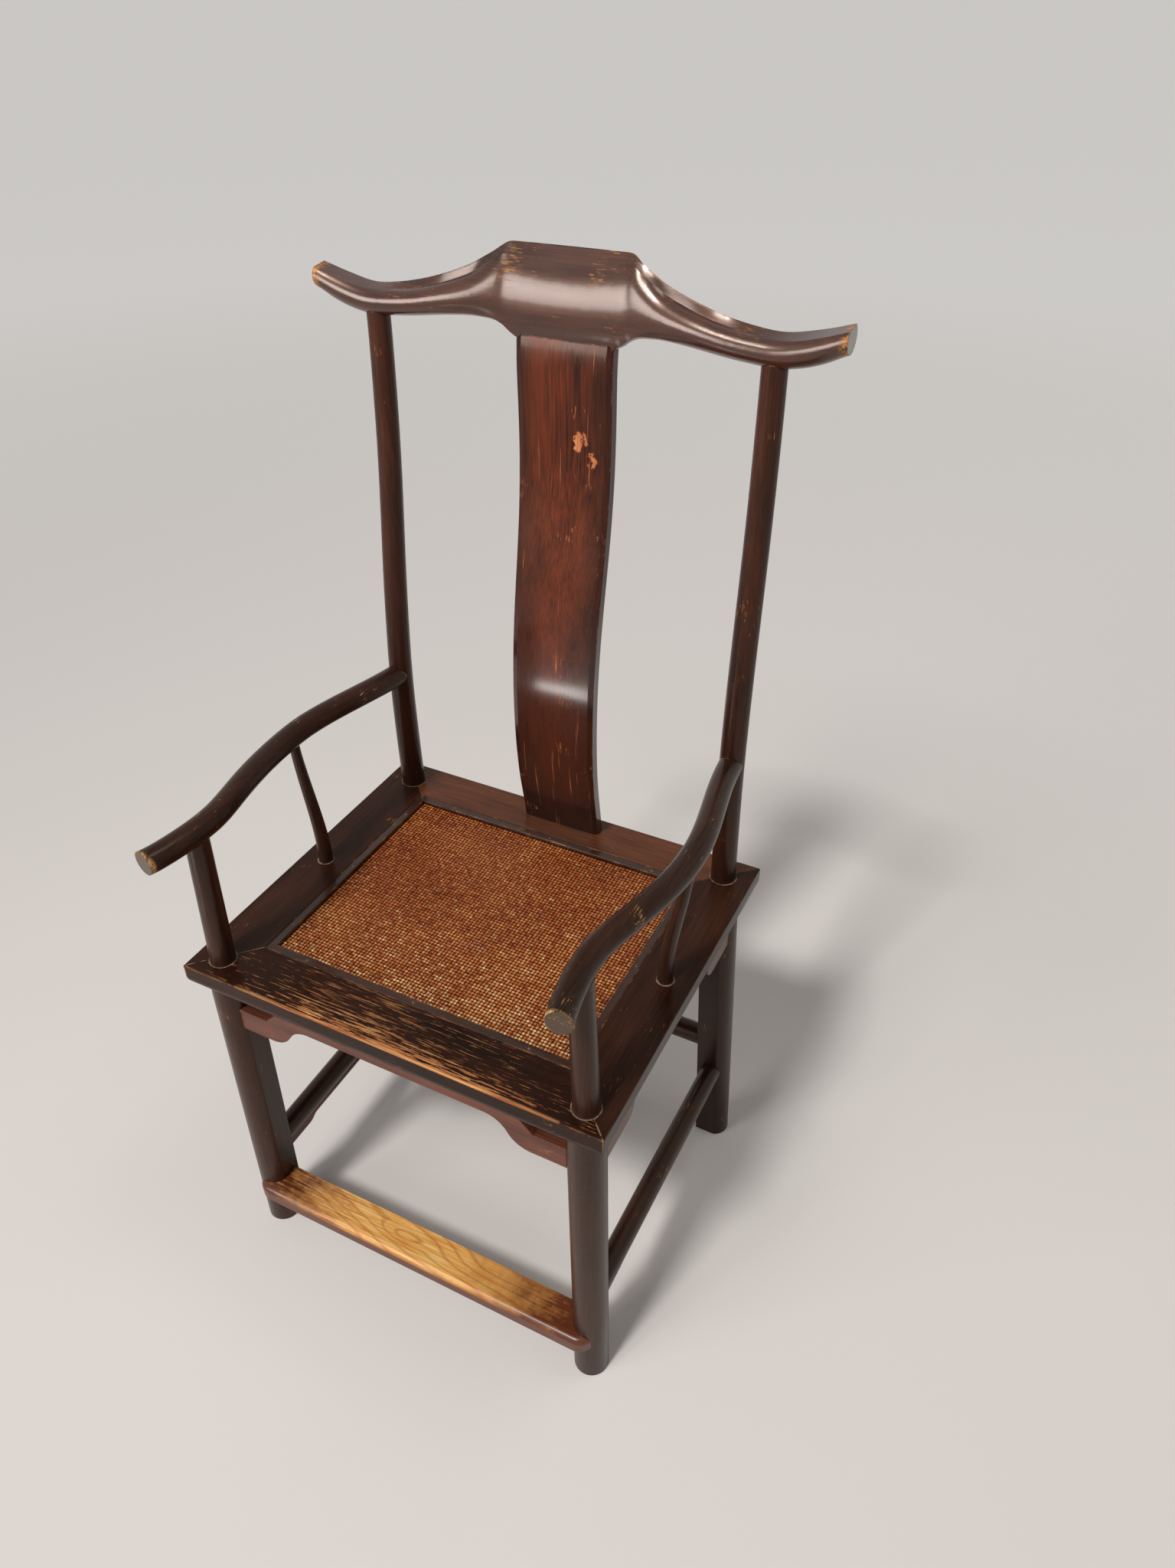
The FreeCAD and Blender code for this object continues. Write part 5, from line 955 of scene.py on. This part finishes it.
# %% [markdown]
# A soft key from the front and above throws the shadows backwards, as in the photograph. It is
# two lamps in one direction: a far one that is even from head to foot, and a near one that fades
# downwards. A large panel at the front left is what the crest rail mirrors as its broad pale
# band, and it has a grid, so it lights the chair and little of the floor. A small lamp near the
# floor is what the splat mirrors as a short bright band. Lacquer is known by such reflections,
# so these two stand where a mirror in the piece's place would show them. A softbox overhead, to
# the right, brightens what faces up.

# %% Lamps
def lamp(name, kind, place, aim, strength, size, colour, spread=180):
    """A lamp at a place, turned to a point. size: a softbox's side, or a far lamp's degrees."""
    data = bpy.data.lights.new(name, kind)
    data.energy, data.color = strength, linear(colour)[:3]
    if kind == "AREA":
        data.shape, data.size, data.spread = "SQUARE", size, math.radians(spread)
    else:
        data.angle = math.radians(size)
    held = bpy.data.objects.new(name, data)
    bpy.context.scene.collection.objects.link(held)
    held.location = place
    held.visible_camera = False
    held.rotation_euler = (Vector(aim) - Vector(place)).to_track_quat("-Z", "Y").to_euler()
    print(name, "at", [round(v, 2) for v in place])


KEY_WAY, KEY_DISTANCE = Vector((-0.12, -0.56, 0.82)), 3.4
CHAIR_MIDDLE, HEADREST, SPLAT_FOOT = Vector((0, 0, 0.6)), (0, 0.2, 1.15), (0, 0.19, 0.73)
NEUTRAL, WARM, PANEL_WHITE = "#FFFDFA", "#FFF8F0", "#FFFAF8"
lamp("far_soft_key", "SUN", KEY_WAY, (0, 0, 0), 1.5, 8, NEUTRAL)
lamp("near_soft_key", "AREA", CHAIR_MIDDLE + KEY_WAY * KEY_DISTANCE, CHAIR_MIDDLE, 22, 0.6, WARM)
lamp("front_left_panel", "AREA", (-1.5, -2.4, 1.65), HEADREST, 9.5, 1.4, PANEL_WHITE, 80)
lamp("floor_glint", "AREA", (-0.62, -1.07, 0.03), SPLAT_FOOT, 0.034, 0.18, NEUTRAL, 30)
lamp("overhead_softbox", "AREA", (0.9, 0.3, 3.3), CHAIR_MIDDLE, 10, 0.9, WARM)

# %% [markdown]
# ## The camera
# The camera stands where the photograph was taken from. Its place, aim, roll and lens were found
# by matching the corners of the seat frame, the feet, the arm tips and the crest rail. It is
# turned by three axes of its own, because a roll of a fraction of a degree is easy to give so.

# %% Camera, where the photograph was taken from
CAMERA_PLACE, CAMERA_AIM = (0.5720, -0.85245, 1.4637), (0.1412, 0.00725, 0.7532)
CAMERA_ROLL, LENS, SENSOR = 0.17, 25.84, 36
forward = (Vector(CAMERA_AIM) - Vector(CAMERA_PLACE)).normalized()
side = forward.cross(Vector((0, 0, 1))).normalized()
upward = side.cross(forward)
turn = math.radians(CAMERA_ROLL)
right_axis = math.cos(turn) * side - math.sin(turn) * upward
up_axis = math.sin(turn) * side + math.cos(turn) * upward
lens = bpy.data.cameras.new("camera")
lens.lens, lens.sensor_width = LENS, SENSOR
camera = bpy.data.objects.new("camera", lens)
bpy.context.scene.collection.objects.link(camera)
stance = Matrix((right_axis, up_axis, -forward)).transposed().to_4x4()
camera.matrix_world = Matrix.Translation(CAMERA_PLACE) @ stance
bpy.context.scene.camera = camera
print("camera", round(CAMERA_PLACE[2], 2), "m above the floor, lens", LENS, "mm")

# %% [markdown]
# ## The view transform
# Colours are shown through the Standard view transform.

# %% The view transform
bpy.context.scene.view_settings.view_transform = "Standard"
